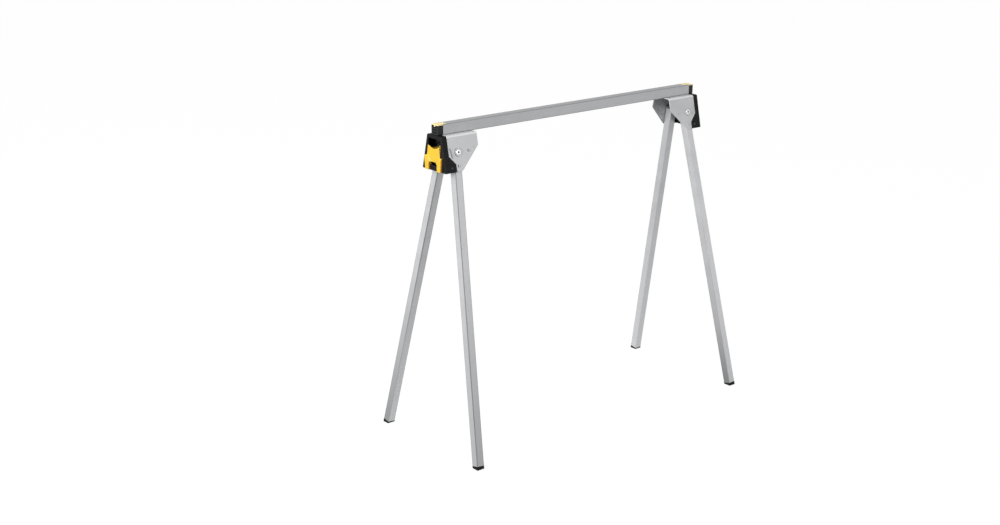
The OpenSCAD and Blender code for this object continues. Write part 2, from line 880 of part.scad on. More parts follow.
// End view of the grip: a body with two ears over a pair of winged prongs
module grip_outline() {
    flare = 3.5;
    ear_width = 2.6;
    prong_round = 1.5;
    body_foot_half = ear_half + flare;
    body_foot = -wing_drop - over;
    // Circle that hollows the top edge between the ears
    ear_inner = ear_half - ear_width;
    dip = ear_rise - top_edge_rise;
    dip_radius = (ear_inner * ear_inner + dip * dip) / (2 * dip);
    difference() {
        union() {
            polygon([[-ear_half, ear_rise], [-body_foot_half, body_foot], [body_foot_half, body_foot], [ear_half, ear_rise]]);
            polygon(rounded(
                [[-wing_half, -wing_drop], [-prong_half, -prong_drop], [prong_half, -prong_drop], [wing_half, -wing_drop]],
                [prong_round, prong_round, prong_round, prong_round]));
        }
        translate([0, top_edge_rise + dip_radius]) circle(dip_radius);
        arch_outline();
    }
}

module arch_outline() {
    polygon(rounded(
        [[-arch_half, -arch_drop], [arch_half, -arch_drop], [arch_half, -prong_drop - over], [-arch_half, -prong_drop - over]],
        [arch_corner, arch_corner, 0, 0]));
}

// Side view of the grip: a shallow body over wings and prongs that stand further out
module grip_side_view() {
    taper_drop = 4;
    foot_round = 0.8;
    taper_round = 12;
    brow_round = 1.5;
    corners = [
        [grip_back, ear_rise],
        [grip_back, -prong_drop],
        [housing_reach + prong_proud, -prong_drop],
        [housing_reach + wing_proud, -wing_drop - taper_drop],
        [housing_reach + body_proud, taper_drop - wing_drop],
        [housing_reach + body_proud, ear_rise]
    ];
    polygon(rounded(corners, [0, 0, foot_round, taper_round, taper_round, brow_round]));
}

module grip() {
    difference() {
        intersection() {
            along_x(grip_back - over, housing_reach + wing_proud + over) grip_outline();
            slab(-2 * wing_half, 2 * wing_half) grip_side_view();
        }
        translate([housing_reach + body_proud + dish_radius - dish_depth, 0, -prong_drop - over])
            cylinder(h = 2 * prong_drop, r = dish_radius, $fn = 96);
    }
}

// The part of the latch that passes through the window and stands on its sill
module latch_core() {
    along_x(slide_outer - over / 2, grip_back + over / 2) intersection() {
        grip_outline();
        polygon(rounded(
            [[-core_half, core_bottom], [core_half, core_bottom], [core_half, top_edge_rise], [-core_half, top_edge_rise]],
            [window_corner, window_corner, 0, 0]));
    }
}

module latch_slide() {
    translate([slide_inner, -slide_half, slide_bottom])
        cube([slide_thickness, 2 * slide_half, slide_top - slide_bottom]);
    for (side = [-1, 1])
        translate([tongue_end, side > 0 ? tongue_near : -tongue_far, tongue_bottom])
            cube([slide_inner - tongue_end + over, tongue_far - tongue_near, slide_top - tongue_bottom]);
    translate([spring_outboard - shelf_half, -shelf_half, shelf_bottom])
        cube([slide_inner - spring_outboard + shelf_half + over, 2 * shelf_half, slide_top - shelf_bottom]);
    translate([spring_outboard, 0, slide_top - over]) cylinder(h = post_height + over, r = post_radius);
}

module latch(end) {
    color(YELLOW_PLASTIC)
    at_end(end) {
        grip();
        latch_core();
        latch_slide();
    }
}

// Springs

spring_rings = 8;
spring_sides = 6;
spring_length = spring_seat_top - slide_top;
spring_pitch = (spring_length - spring_wire) / spring_turns;
coil_radius = spring_radius - spring_wire / 2;

function spring_ring(i) =
    let (turn = 360 * i / spring_rings, rise = spring_wire / 2 + spring_pitch * i / spring_rings)
    [for (k = [0:spring_sides - 1])
        let (a = 360 * k / spring_sides, out = coil_radius + spring_wire / 2 * cos(a))
        [out * cos(turn), out * sin(turn), rise + spring_wire / 2 * sin(a)]];

spring_points = [for (i = [0:spring_turns * spring_rings]) each spring_ring(i)];
spring_faces = [
    for (i = [0:spring_turns * spring_rings - 1], k = [0:spring_sides - 1])
        let (a = i * spring_sides + k, b = i * spring_sides + (k + 1) % spring_sides)
        each [[a, a + spring_sides, b], [b, a + spring_sides, b + spring_sides]],
    for (k = [1:spring_sides - 2]) [0, k, k + 1],
    for (k = [1:spring_sides - 2])
        let (last = spring_turns * spring_rings * spring_sides) [last, last + k + 1, last + k]
];
echo(spring_least_gap = spring_pitch - spring_wire);

module latch_spring(end) {
    color(BRIGHT_STEEL)
    at_end(end) translate([spring_outboard, 0, slide_top]) polyhedron(spring_points, spring_faces, convexity = 8);
}

// Pivots

tail_gap = 0.3;
tail_height = 1.8;

// A hollow rivet on the plate's boss, with its tail rolled over behind the leg
module pivot_rivet(end, side) {
    tail = leg_inner_depth + tail_gap;
    tail_radius = rivet_head - 0.6;
    head_top = boss_height + rivet_head_height;
    chamfer = 0.7;
    color(BRIGHT_STEEL)
    at_plate(end, side) rotate([-90, 0, 0]) rotate_extrude() polygon([
        [rivet_bore, -tail - tail_height],
        [tail_radius - chamfer, -tail - tail_height],
        [tail_radius, -tail - tail_height / 2],
        [tail_radius, -tail],
        [rivet_radius, -tail],
        [rivet_radius, boss_height],
        [rivet_head, boss_height],
        [rivet_head, boss_height + rivet_head_height * 0.4],
        [rivet_head - chamfer, boss_height + rivet_head_height * 0.8],
        [rivet_head - 2.5 * chamfer, head_top],
        [rivet_bore + chamfer, head_top],
        [rivet_bore, head_top - chamfer]
    ]);
}

module pivot_washer(end, side) {
    outer = plate_thickness - boss_height + washer_gap;
    color(BLACK_PLASTIC)
    at_plate(end, side) difference() {
        across_plate(outer, leg_outer_depth, washer_radius);
        across_plate(outer - over, leg_outer_depth + over, rivet_radius + running_gap);
    }
}

bush_radius = rivet_radius + running_gap + bush_wall;

module leg_bush(end, side) {
    color(BRIGHT_STEEL)
    at_plate(end, side) difference() {
        across_plate(leg_outer_depth, leg_inner_depth, bush_radius);
        across_plate(leg_outer_depth - over, leg_inner_depth + over, rivet_radius + running_gap);
    }
}

// Legs

button_shank = 2;

module leg_tube(end, side) {
    color(STEEL)
    in_leg(end, side) difference() {
        translate([0, 0, -tube_reach]) linear_extrude(tube_reach + leg_stub)
            tube_section(leg_size, leg_size, leg_wall, leg_corner);
        rotate([90, 0, 0]) cylinder(h = leg_size + 2 * over, r = bush_radius + running_gap, center = true);
        translate([0, leg_half - leg_wall - over, -detent_reach]) rotate([-90, 0, 0])
            cylinder(h = leg_wall + 2 * over, r = button_shank + running_gap);
    }
}

// The part of its children that lies above the floor
module above_floor() {
    intersection() {
        children();
        translate([-beyond / 2, -beyond / 2, 0]) cube(beyond);
    }
}

module foot_block(end, side) {
    width = leg_size + 2 * foot_proud;
    below = leg_long_reach - tube_reach + 2 * foot_proud + over;
    in_leg(end, side) translate([0, 0, -tube_reach - below]) linear_extrude(below)
        rounded_rectangle(width, width, leg_corner + foot_proud);
}

module foot_plug_body(end, side) {
    width = leg_size - 2 * leg_wall - 2 * plug_fit;
    bore = width - 2 * foot_wall;
    in_leg(end, side) translate([0, 0, -tube_reach - over]) difference() {
        linear_extrude(foot_plug + over) rounded_rectangle(width, width, max(leg_corner - leg_wall, 0.4));
        translate([-bore / 2, -bore / 2, over + foot_wall]) cube([bore, bore, foot_plug]);
    }
}

// Grooves across the sole, in line with the beam's width
module treads(end, side) {
    foot_x = pivot_x + slope_to_floor(leg_middle_depth) * tan(leg_lean);
    for (i = [-1:1])
        translate([end * foot_x + i * tread_pitch - tread_width / 2, -beyond / 2, -over])
            cube([tread_width, beyond, tread_depth + over]);
}

module leg_foot(end, side) {
    color(BLACK_PLASTIC)
    difference() {
        above_floor() {
            foot_block(end, side);
            foot_plug_body(end, side);
        }
        treads(end, side);
    }
}

module detent_button(end, side) {
    color(BRIGHT_STEEL)
    in_leg(end, side) translate([0, leg_half, -detent_reach]) rotate([-90, 0, 0]) {
        translate([0, 0, -leg_wall - 1]) cylinder(h = leg_wall + 1, r = button_shank);
        cylinder(h = button_height / 2, r = button_radius);
        translate([0, 0, button_height / 2])
            cylinder(h = button_height / 2, r1 = button_radius, r2 = button_radius - button_height);
    }
}

// Sub-parts by end and side

module end_cap_left() end_cap(LEFT);
module end_cap_right() end_cap(RIGHT);
module top_insert_left() top_insert(LEFT);
module top_insert_right() top_insert(RIGHT);
module saddle_left() saddle(LEFT);
module saddle_right() saddle(RIGHT);
module saddle_rivets_left() saddle_rivets(LEFT);
module saddle_rivets_right() saddle_rivets(RIGHT);
module latch_housing_left() latch_housing(LEFT);
module latch_housing_right() latch_housing(RIGHT);
module cross_brace_left() cross_brace(LEFT);
module cross_brace_right() cross_brace(RIGHT);
module housing_screws_left() housing_screws(LEFT);
module housing_screws_right() housing_screws(RIGHT);
module latch_left() latch(LEFT);
module latch_right() latch(RIGHT);
module latch_spring_left() latch_spring(LEFT);
module latch_spring_right() latch_spring(RIGHT);
module pivot_rivet_left_front() pivot_rivet(LEFT, FRONT);
module pivot_rivet_left_back() pivot_rivet(LEFT, BACK);
module pivot_rivet_right_front() pivot_rivet(RIGHT, FRONT);
module pivot_rivet_right_back() pivot_rivet(RIGHT, BACK);
module pivot_washer_left_front() pivot_washer(LEFT, FRONT);
module pivot_washer_left_back() pivot_washer(LEFT, BACK);
module pivot_washer_right_front() pivot_washer(RIGHT, FRONT);
module pivot_washer_right_back() pivot_washer(RIGHT, BACK);
module leg_bush_left_front() leg_bush(LEFT, FRONT);
module leg_bush_left_back() leg_bush(LEFT, BACK);
module leg_bush_right_front() leg_bush(RIGHT, FRONT);
module leg_bush_right_back() leg_bush(RIGHT, BACK);
module leg_tube_left_front() leg_tube(LEFT, FRONT);
module leg_tube_left_back() leg_tube(LEFT, BACK);
module leg_tube_right_front() leg_tube(RIGHT, FRONT);
module leg_tube_right_back() leg_tube(RIGHT, BACK);
module leg_foot_left_front() leg_foot(LEFT, FRONT);
module leg_foot_left_back() leg_foot(LEFT, BACK);
module leg_foot_right_front() leg_foot(RIGHT, FRONT);
module leg_foot_right_back() leg_foot(RIGHT, BACK);
module detent_button_left_front() detent_button(LEFT, FRONT);
module detent_button_left_back() detent_button(LEFT, BACK);
module detent_button_right_front() detent_button(RIGHT, FRONT);
module detent_button_right_back() detent_button(RIGHT, BACK);

beam_tube();
end_cap_left();
end_cap_right();
top_insert_left();
top_insert_right();
saddle_left();
saddle_right();
saddle_rivets_left();
saddle_rivets_right();
latch_housing_left();
latch_housing_right();
cross_brace_left();
cross_brace_right();
housing_screws_left();
housing_screws_right();
latch_left();
latch_right();
latch_spring_left();
latch_spring_right();
pivot_rivet_left_front();
pivot_rivet_left_back();
pivot_rivet_right_front();
pivot_rivet_right_back();
pivot_washer_left_front();
pivot_washer_left_back();
pivot_washer_right_front();
pivot_washer_right_back();
leg_bush_left_front();
leg_bush_left_back();
leg_bush_right_front();
leg_bush_right_back();
leg_tube_left_front();
leg_tube_left_back();
leg_tube_right_front();
leg_tube_right_back();
leg_foot_left_front();
leg_foot_left_back();
leg_foot_right_front();
leg_foot_right_back();
detent_button_left_front();
detent_button_left_back();
detent_button_right_front();
detent_button_right_back();
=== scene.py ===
"""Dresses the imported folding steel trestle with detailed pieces, finishes, floor, light and camera."""

import logging
import math
from collections.abc import Callable, Iterable, Iterator, Sequence
from contextlib import contextmanager
from dataclasses import dataclass, field
from enum import Enum
from functools import reduce

import bpy
from mathutils import Matrix, Vector


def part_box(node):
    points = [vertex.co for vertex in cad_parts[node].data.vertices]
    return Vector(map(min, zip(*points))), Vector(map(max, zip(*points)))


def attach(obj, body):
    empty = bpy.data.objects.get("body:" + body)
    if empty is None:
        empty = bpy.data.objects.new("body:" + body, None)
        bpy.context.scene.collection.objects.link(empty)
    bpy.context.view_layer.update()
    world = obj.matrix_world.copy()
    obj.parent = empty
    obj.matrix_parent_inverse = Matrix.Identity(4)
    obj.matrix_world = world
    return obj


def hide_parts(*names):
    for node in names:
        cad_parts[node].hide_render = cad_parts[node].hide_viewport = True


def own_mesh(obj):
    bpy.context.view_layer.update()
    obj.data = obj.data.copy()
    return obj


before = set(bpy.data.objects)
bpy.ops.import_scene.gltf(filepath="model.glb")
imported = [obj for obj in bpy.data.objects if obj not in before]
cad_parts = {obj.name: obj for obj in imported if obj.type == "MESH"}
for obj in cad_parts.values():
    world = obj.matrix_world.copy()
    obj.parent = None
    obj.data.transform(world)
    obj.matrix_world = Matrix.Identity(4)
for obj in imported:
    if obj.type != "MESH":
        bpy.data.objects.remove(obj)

log = logging.getLogger("trestle")

MM = 0.001
EPS = 1e-4
# How far a block reaches past the surface that it cuts or joins, in millimetres.
OVERREACH = 1.0

Piece = bpy.types.Object
Material = bpy.types.Material
Socket = bpy.types.NodeSocket
Input = Socket | float | Sequence[float]
Outline = list[tuple[float, float]]
Triple = tuple[float, float, float]


class End(Enum):
    """The two ends of the beam. The value is the sign of X."""

    LEFT = -1
    RIGHT = 1


class Side(Enum):
    """The two sides of the trestle. The value is the sign of Y."""

    FRONT = -1
    BACK = 1


class Zone(Enum):
    """The frame that a finish follows, shared by mirror-equal places of the trestle."""

    WORLD = "world"
    PLATE = "plate"
    LEG = "leg"


Corner = tuple[End, Side]
CORNERS: list[Corner] = [(end, side) for end in End for side in Side]


def label(*parts: End | Side | str) -> str:
    """Joins a piece's name from words and choices, in lower case."""
    return "_".join(part if isinstance(part, str) else part.name.lower() for part in parts)


# Where things are


@dataclass(frozen=True)
class Layout:
    """Main sizes of the trestle, in millimetres and degrees, as in the part's source."""

    pivot_height: float = 716.0
    pivot_drop: float = 39.0
    beam_height: float = 25.0
    beam_overhang: float = 25.0
    splay: float = 12.3
    lean: float = 4.2
    plate_offset: float = 35.2
    plate_thickness: float = 2.0
    leg_gap: float = 0.8
    leg_size: float = 20.0
    detent_reach: float = 31.0
    screw_place: tuple[float, float] = (21.2, -34.0)

    @property
    def pivot_x(self) -> float:
        """Distance from the middle of the beam to a pivot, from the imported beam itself."""
        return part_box("beam_tube")[1].x / MM - self.beam_overhang

    @property
    def beam_middle(self) -> float:
        """Height of the beam's middle line above the floor."""
        return self.pivot_height + self.pivot_drop + self.beam_height / 2

    @property
    def leg_depth(self) -> float:
        """Depth of a leg's outer face below its plate's outer face."""
        return self.plate_thickness + self.leg_gap

    def at_end(self, end: End) -> Matrix:
        """Frame of one end: X outboard from the pivots and Z up from them, in millimetres."""
        mirror = Matrix.Diagonal((MM * end.value, MM, MM, 1.0))
        return mirror @ Matrix.Translation((self.pivot_x, 0.0, self.pivot_height))

    def on_plate(self, end: End, side: Side) -> Matrix:
        """Frame of one plate: X outboard, Z up the plate, Y out of its outer face."""
        flip = Matrix.Diagonal((1.0, side.value, 1.0, 1.0))
        tilt = Matrix.Rotation(math.radians(self.splay), 4, "X")
        return self.at_end(end) @ flip @ Matrix.Translation((0.0, self.plate_offset, 0.0)) @ tilt

    def in_leg(self, end: End, side: Side) -> Matrix:
        """Frame of one leg: the origin where the pivot crosses the tube's middle, Z along the tube."""
        middle = Matrix.Translation((0.0, -self.leg_depth - self.leg_size / 2, 0.0))
        return self.on_plate(end, side) @ middle @ Matrix.Rotation(math.radians(-self.lean), 4, "Y")

    def zone(self, zone: Zone) -> Matrix:
        """Frame of a zone at the right back corner, in metres.

        Args:
            zone: The zone that a finish follows.

        Returns:
            The matrix from the zone's frame to the model's frame.
        """
        frames = {Zone.WORLD: Matrix.Identity(4),
                  Zone.PLATE: self.on_plate(End.RIGHT, Side.BACK),
                  Zone.LEG: self.in_leg(End.RIGHT, Side.BACK)}
        matrix = frames[zone]
        return Matrix.Translation(matrix.translation) @ matrix.to_quaternion().to_matrix().to_4x4()


LAYOUT = Layout()
TURNED = Matrix.Rotation(math.radians(-90.0), 4, "X")


# Modelling tools. Pieces are modelled in millimetres in a local frame, then put in place.


def clear_selection() -> None:
    """Leaves edit mode and deselects everything."""
    if bpy.context.object and bpy.context.object.mode != "OBJECT":
        bpy.ops.object.mode_set(mode="OBJECT")
    bpy.ops.object.select_all(action="DESELECT")


def activate(obj: Piece) -> None:
    """Leaves edit mode and makes obj the only selected and active object."""
    clear_selection()
    obj.select_set(True)
    bpy.context.view_layer.objects.active = obj


@contextmanager
def editing(obj: Piece) -> Iterator[None]:
    """Keeps obj in edit mode while the block runs, at first with all of it selected."""
    activate(obj)
    bpy.ops.object.mode_set(mode="EDIT")
    bpy.ops.mesh.select_all(action="SELECT")
    yield
    bpy.ops.object.mode_set(mode="OBJECT")


def rename(obj: Piece, name: str) -> Piece:
    """Gives an object and its mesh a name."""
    obj.name = name
    obj.data.name = name
    return obj


def fresh(name: str) -> Piece:
    """Names the primitive that was just added and bakes its place into its mesh."""
    obj = rename(bpy.context.object, name)
    activate(obj)
    bpy.ops.object.transform_apply(location=True, rotation=True, scale=True)
    return obj


def add_box(name: str, low: Triple, high: Triple) -> Piece:
    """Adds a box between two corners."""
    clear_selection()
    centre = [(a + b) / 2 for a, b in zip(low, high)]
    size = [b - a for a, b in zip(low, high)]
    bpy.ops.mesh.primitive_cube_add(size=1.0, location=centre, scale=size)
    return fresh(name)


def add_rod(name: str, base: Triple, radius: float, height: float, sides: int = 32) -> Piece:
    """Adds an upright round rod on a base point."""
    clear_selection()
    middle = (base[0], base[1], base[2] + height / 2)
    bpy.ops.mesh.primitive_cylinder_add(vertices=sides, radius=radius, depth=height, location=middle)
    return fresh(name)


def add_prism(name: str, outline: Outline, start: float, end: float) -> Piece:
    """Adds a prism along X whose section is an outline in Y and Z.

    Args:
        name: Name of the new object.
        outline: Corners of the section, as pairs of Y and Z.
        start: X of the first end face.
        end: X of the other end face.

    Returns:
        The closed prism.
    """
    clear_selection()
    bpy.ops.mesh.primitive_circle_add(vertices=len(outline), radius=1.0, fill_type="NGON")
    obj = fresh(name)
    for vertex, (y, z) in zip(obj.data.vertices, outline):
        vertex.co = (start, y, z)
    with editing(obj):
        bpy.ops.mesh.extrude_region_move(TRANSFORM_OT_translate={"value": (end - start, 0.0, 0.0)})
        bpy.ops.mesh.select_all(action="SELECT")
        bpy.ops.mesh.normals_make_consistent(inside=False)
    return obj


def add_turned(name: str, profile: Outline, steps: int = 48) -> Piece:
    """Spins a closed profile of radius and height round the Z axis.

    Args:
        name: Name of the new object.
        profile: Corners of the profile, as pairs of radius and height.
        steps: Steps in one full turn.

    Returns:
        The closed turned body. Points of radius 0 are merged into poles.
    """
    clear_selection()
    bpy.ops.mesh.primitive_circle_add(vertices=len(profile), radius=1.0, fill_type="NOTHING")
    obj = fresh(name)
    for vertex, (radius, height) in zip(obj.data.vertices, profile):
        vertex.co = (radius, 0.0, height)
    if profile[0][0] == 0.0 and profile[-1][0] == 0.0:
        select_edges(obj, lambda a, b: abs(a.x) < EPS and abs(b.x) < EPS)
        bpy.ops.mesh.delete(type="EDGE")
    with editing(obj):
        bpy.ops.mesh.spin(steps=steps, angle=math.tau, center=(0.0, 0.0, 0.0), axis=(0.0, 0.0, 1.0))
        bpy.ops.mesh.select_all(action="SELECT")
        bpy.ops.mesh.remove_doubles(threshold=EPS)
        bpy.ops.mesh.normals_make_consistent(inside=False)
    return obj


def select_edges(obj: Piece, test: Callable[[Vector, Vector], bool]) -> None:
    """Enters edit mode with only those edges selected whose two ends pass the test."""
    with editing(obj):
        bpy.ops.mesh.select_mode(type="EDGE")
        bpy.ops.mesh.select_all(action="DESELECT")
    vertices = obj.data.vertices
    for edge in obj.data.edges:
        edge.select = test(*(vertices[i].co for i in edge.vertices))
    bpy.ops.object.mode_set(mode="EDIT")


def round_edges(obj: Piece, test: Callable[[Vector, Vector], bool], radius: float, segments: int = 4) -> None:
    """Rounds the edges whose two ends pass the test."""
    select_edges(obj, test)
    bpy.ops.mesh.bevel(offset=radius, segments=segments, profile=0.5, affect="EDGES", clamp_overlap=False)
    bpy.ops.object.mode_set(mode="OBJECT")


def lengthwise(a: Vector, b: Vector) -> bool:
    """Says whether an edge of a block runs along X."""
    return abs(a.x - b.x) > 1.0


def slice_mesh(obj: Piece, axis: int, places: Iterable[float]) -> None:
    """Cuts the faces along planes across one axis, so that the mesh can follow a curved surface."""
    with editing(obj):
        for spot in places:
            point, normal = [0.0] * 3, [0.0] * 3
            point[axis], normal[axis] = spot, 1.0
            bpy.ops.mesh.select_all(action="SELECT")
            bpy.ops.mesh.bisect(plane_co=point, plane_no=normal, use_fill=False)


def apply_modifier(obj: Piece, kind: str, **settings: object) -> None:
    """Adds a modifier with the given settings and applies it."""
    activate(obj)
    modifier = obj.modifiers.new(kind.lower(), kind)
    for key, value in settings.items():
        setattr(modifier, key, value)
    bpy.ops.object.modifier_apply(modifier=modifier.name)


def combine(obj: Piece, tool: Piece, operation: str = "DIFFERENCE") -> None:
    """Cuts a tool from obj, or joins it to obj, and removes the tool."""
    apply_modifier(obj, "BOOLEAN", operation=operation, solver="EXACT", object=tool)
    bpy.data.objects.remove(tool, do_unlink=True)


def soften(obj: Piece, width: float, segments: int = 2, angle: float = 32.0) -> None:
    """Rounds every sharp edge a little and marks the rounding as the piece's rim.

    Args:
        obj: The piece.
        width: Width of the rounding, in the mesh's own unit.
        segments: Faces across the rounding.
        angle: Least turn between two faces that is rounded, in degrees.
    """
    mesh = obj.data
    mesh.materials.clear()
    for _ in range(2):
        mesh.materials.append(None)
    mesh.polygons.foreach_set("material_index", [0] * len(mesh.polygons))
    apply_modifier(obj, "BEVEL", width=width, segments=segments, limit_method="ANGLE",
                   angle_limit=math.radians(angle), use_clamp_overlap=False, material=1)
    rim = mesh.attributes.new("rim", "FLOAT", "FACE")
    rim.data.foreach_set("value", [float(face.material_index) for face in mesh.polygons])
    mesh.polygons.foreach_set("material_index", [0] * len(mesh.polygons))
    mesh.materials.clear()


def mark_faces(obj: Piece, name: str, value_of: Callable[[Vector, Vector], float]) -> None:
    """Writes a number on each face, which a finish reads, from the face's centre and normal."""
    mark = obj.data.attributes.new(name, "FLOAT", "FACE")
    mark.data.foreach_set("value", [value_of(face.center, face.normal) for face in obj.data.polygons])


def smooth(obj: Piece, angle: float) -> None:
    """Shades the piece smooth, except across edges that turn more than the angle, and keeps its flats even."""
    activate(obj)
    bpy.ops.object.shade_smooth_by_angle(angle=math.radians(angle))
    apply_modifier(obj, "WEIGHTED_NORMAL", keep_sharp=True, weight=90)


def place(obj: Piece, matrix: Matrix) -> Piece:
    """Puts a piece in place in its mesh, and turns its faces out again after a mirroring matrix."""
    obj.data.transform(matrix)
    if matrix.determinant() < 0:
        obj.data.flip_normals()
    obj.data.update()
    return obj


def join(name: str, pieces: Sequence[Piece]) -> Piece:
    """Joins several meshes into one named object."""
    activate(pieces[0])
    for piece in pieces[1:]:
        piece.select_set(True)
    bpy.ops.object.join()
    return rename(bpy.context.object, name)


def copy_node(node: str, name: str) -> Piece:
    """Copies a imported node's mesh, with its loose triangles merged back into whole faces."""
    copy = bpy.data.objects.new(name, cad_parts[node].data.copy())
    bpy.context.scene.collection.objects.link(copy)
    with editing(copy):
        bpy.ops.mesh.remove_doubles(threshold=2e-6)
        bpy.ops.mesh.customdata_custom_splitnormals_clear()
        bpy.ops.mesh.dissolve_limited(angle_limit=math.radians(0.5), delimit=set())
    return copy


def arc(centre: tuple[float, float], radius: float, start: float, end: float, steps: int) -> Outline:
    """Points along an arc, with its angles in degrees."""
    angles = [math.radians(start + (end - start) * i / steps) for i in range(steps + 1)]
    return [(centre[0] + radius * math.cos(a), centre[1] + radius * math.sin(a)) for a in angles]


def smooth_step(value: float, low: float, high: float) -> float:
    """Rises softly from 0 at low to 1 at high."""
    t = min(max((value - low) / (high - low), 0.0), 1.0)
    return t * t * (3.0 - 2.0 * t)


# Finishes


def rgba(colour: Triple, factor: float = 1.0) -> tuple[float, float, float, float]:
    """A linear colour with its brightness scaled, as a shader takes it."""
    return (colour[0] * factor, colour[1] * factor, colour[2] * factor, 1.0)


class Graph:
    """A shader node tree, with short calls for its nodes."""

    def __init__(self, tree: bpy.types.NodeTree) -> None:
        """Starts on an emptied tree."""
        self.tree = tree
        self.tree.nodes.clear()

    def add(self, kind: str, inputs: dict[str | int, Input] | None = None, **settings: object) -> bpy.types.Node:
        """Adds a node.

        Args:
            kind: The node's type, without the words ShaderNode before it.
            inputs: Values or sockets for its inputs, by name or number.
            **settings: Values for its own settings.

        Returns:
            The new node.
        """
        node = self.tree.nodes.new("ShaderNode" + kind)
        for key, value in settings.items():
            setattr(node, key, value)
        for key, value in (inputs or {}).items():
            if isinstance(value, Socket):
                self.tree.links.new(value, node.inputs[key])
            else:
                node.inputs[key].default_value = value
        return node

    def calc(self, operation: str, a: Input, b: Input = 0.0) -> Socket:
        """One step of arithmetic."""
        return self.add("Math", {0: a, 1: b}, operation=operation).outputs[0]

    def times(self, *factors: Input) -> Socket:
        """The product of several values."""
        return reduce(lambda a, b: self.calc("MULTIPLY", a, b), factors)

    def vector(self, operation: str, a: Input, b: Input = (0.0, 0.0, 0.0), output: str = "Vector") -> Socket:
        """One step of vector arithmetic."""
        return self.add("VectorMath", {0: a, 1: b}, operation=operation).outputs[output]

    def span(self, value: Input, low: float, high: float, start: float = 0.0, end: float = 1.0) -> Socket:
        """Maps a value from one range to another, clamped at its ends."""
        inputs = {"Value": value, "From Min": low, "From Max": high, "To Min": start, "To Max": end}
        return self.add("MapRange", inputs, clamp=True).outputs[0]

    def blend(self, share: Input, first: Input, second: Input) -> Socket:
        """Mixes two colours."""
        return self.add("Mix", {0: share, 6: first, 7: second}, data_type="RGBA").outputs[2]

    def layered(self, colour: Input, layers: Iterable[tuple[Input, Input]]) -> Socket:
        """Lays further colours over a colour, each by its share."""
        for share, over in layers:
            colour = self.blend(share, colour, over)
        return colour

    def seen(self) -> Socket:
        """1 for the camera's rays, mirrored and transmitted ones too, and 0 for the rays that carry light."""
        rays = self.add("LightPath").outputs
        return self.calc("MAXIMUM", rays["Is Camera Ray"],
                         self.calc("MAXIMUM", rays["Is Glossy Ray"], rays["Is Transmission Ray"]))


class MaterialGraph(Graph):
    """A material's node tree, with calls for the patterns that the finishes share."""

    def __init__(self, name: str, zone: Zone = Zone.WORLD) -> None:
        """Starts a material.

        Args:
            name: Name of the material.
            zone: The frame that its pattern follows.
        """
        self.material = bpy.data.materials.new(name)
        self.material.use_nodes = True
        super().__init__(self.material.node_tree)
        self.place = self.coordinates(zone)

    def coordinates(self, zone: Zone) -> Socket:
        """Object coordinates in the frame of a zone, the same for all mirrored places."""
        place_of = self.add("TexCoord").outputs["Object"]
        if zone is Zone.WORLD:
            return place_of
        inverse = LAYOUT.zone(zone).inverted()
        turned = {"Vector": self.vector("ABSOLUTE", place_of), "Location": inverse.translation,
                  "Rotation": inverse.to_euler()}
        return self.add("Mapping", turned, vector_type="POINT").outputs[0]

    def noise(self, scale: float, detail: float = 2.0, vector: Socket | None = None) -> Socket:
        """Soft noise from about 0.3 to 0.7."""
        inputs = {"Vector": vector or self.place, "Scale": scale, "Detail": detail}
        return self.add("TexNoise", inputs).outputs[0]

    def grain(self, detail: float, factors: Triple) -> Socket:
        """Noise with a scale of its own on each axis, for streaks and drawn lines."""
        return self.noise(1.0, detail, self.vector("MULTIPLY", self.place, factors))

    def mark(self, name: str) -> Socket:
        """The number that mark_faces or soften wrote on the faces, 0 where there is none."""
        return self.add("Attribute", attribute_name=name).outputs["Fac"]

    def band(self, axis: str, low: float, high: float, start: float, end: float) -> Socket:
        """A share that goes from start to end between two places on an axis of the zone, in millimetres."""
        along = self.add("SeparateXYZ", {0: self.place}).outputs[axis]
        return self.span(along, low * MM, high * MM, start, end)

    def rings(self, centre: tuple[float, float]) -> Socket:
        """Distance from a round piece's axis, which runs along the zone's Y."""
        moved = self.vector("ADD", self.place, (-centre[0] * MM, 0.0, -centre[1] * MM))
        return self.vector("LENGTH", self.vector("MULTIPLY", moved, (1.0, 0.0, 1.0)), output="Value")

    def relief(self, height: Input, strength: float, depth: float) -> Socket:
        """A bumped normal from a height."""
        return self.add("Bump", {"Height": height, "Strength": strength, "Distance": depth}).outputs[0]

    def close(self, shader: bpy.types.Node) -> Material:
        """Makes a shader the material's surface and returns the material."""
        self.add("OutputMaterial", {"Surface": shader.outputs[0]})
        return self.material

    def finish(self, **values: Input) -> Material:
        """Ends the material with a Principled shader.

        Args:
            **values: Shader inputs, with underscores for the spaces in their names.

        Returns:
            The finished material.
        """
        return self.close(self.add("BsdfPrincipled", {key.replace("_", " "): value for key, value in values.items()}))


Band = tuple[str, float, float, float, float]


@dataclass(frozen=True)
class Shade:
    """A lighter or darker part of a coat, where light or shade is painted into its colour.

    Attributes:
        factor: Brightness of the coat there.
        bands: Axis, two places on it in millimetres and the share at each. The shares of all bands are multiplied.
    """

    factor: float
    bands: tuple[Band, ...]


@dataclass(frozen=True)
class TubeForm:
    """Where a tube's rounded corners are, in millimetres in its finish's zone, and how dark the painted lines along
    them are, which stand in for the dark reflection on the corners.
    """

    along: str
    half: float
    corner: float
    height: float = 0.0
    share: float = 0.95
    bands: tuple[Band, ...] = ()

    def shade(self, graph: MaterialGraph) -> Socket:
        """Share of the painted dark line that runs along each rounded corner, in place of its dark reflection."""
        moved = graph.vector("ADD", graph.place, (0.0, 0.0, -self.height * MM))
        parts = graph.add("SeparateXYZ", {0: graph.vector("ABSOLUTE", moved)}).outputs
        near = graph.calc("MINIMUM", *(parts[axis] for axis in "XYZ" if axis != self.along))
        start = self.half - self.corner
        line = graph.span(near, start * MM, (start + 0.6 * self.corner) * MM)
        return graph.times(line, self.share, *(graph.band(*band) for band in self.bands))


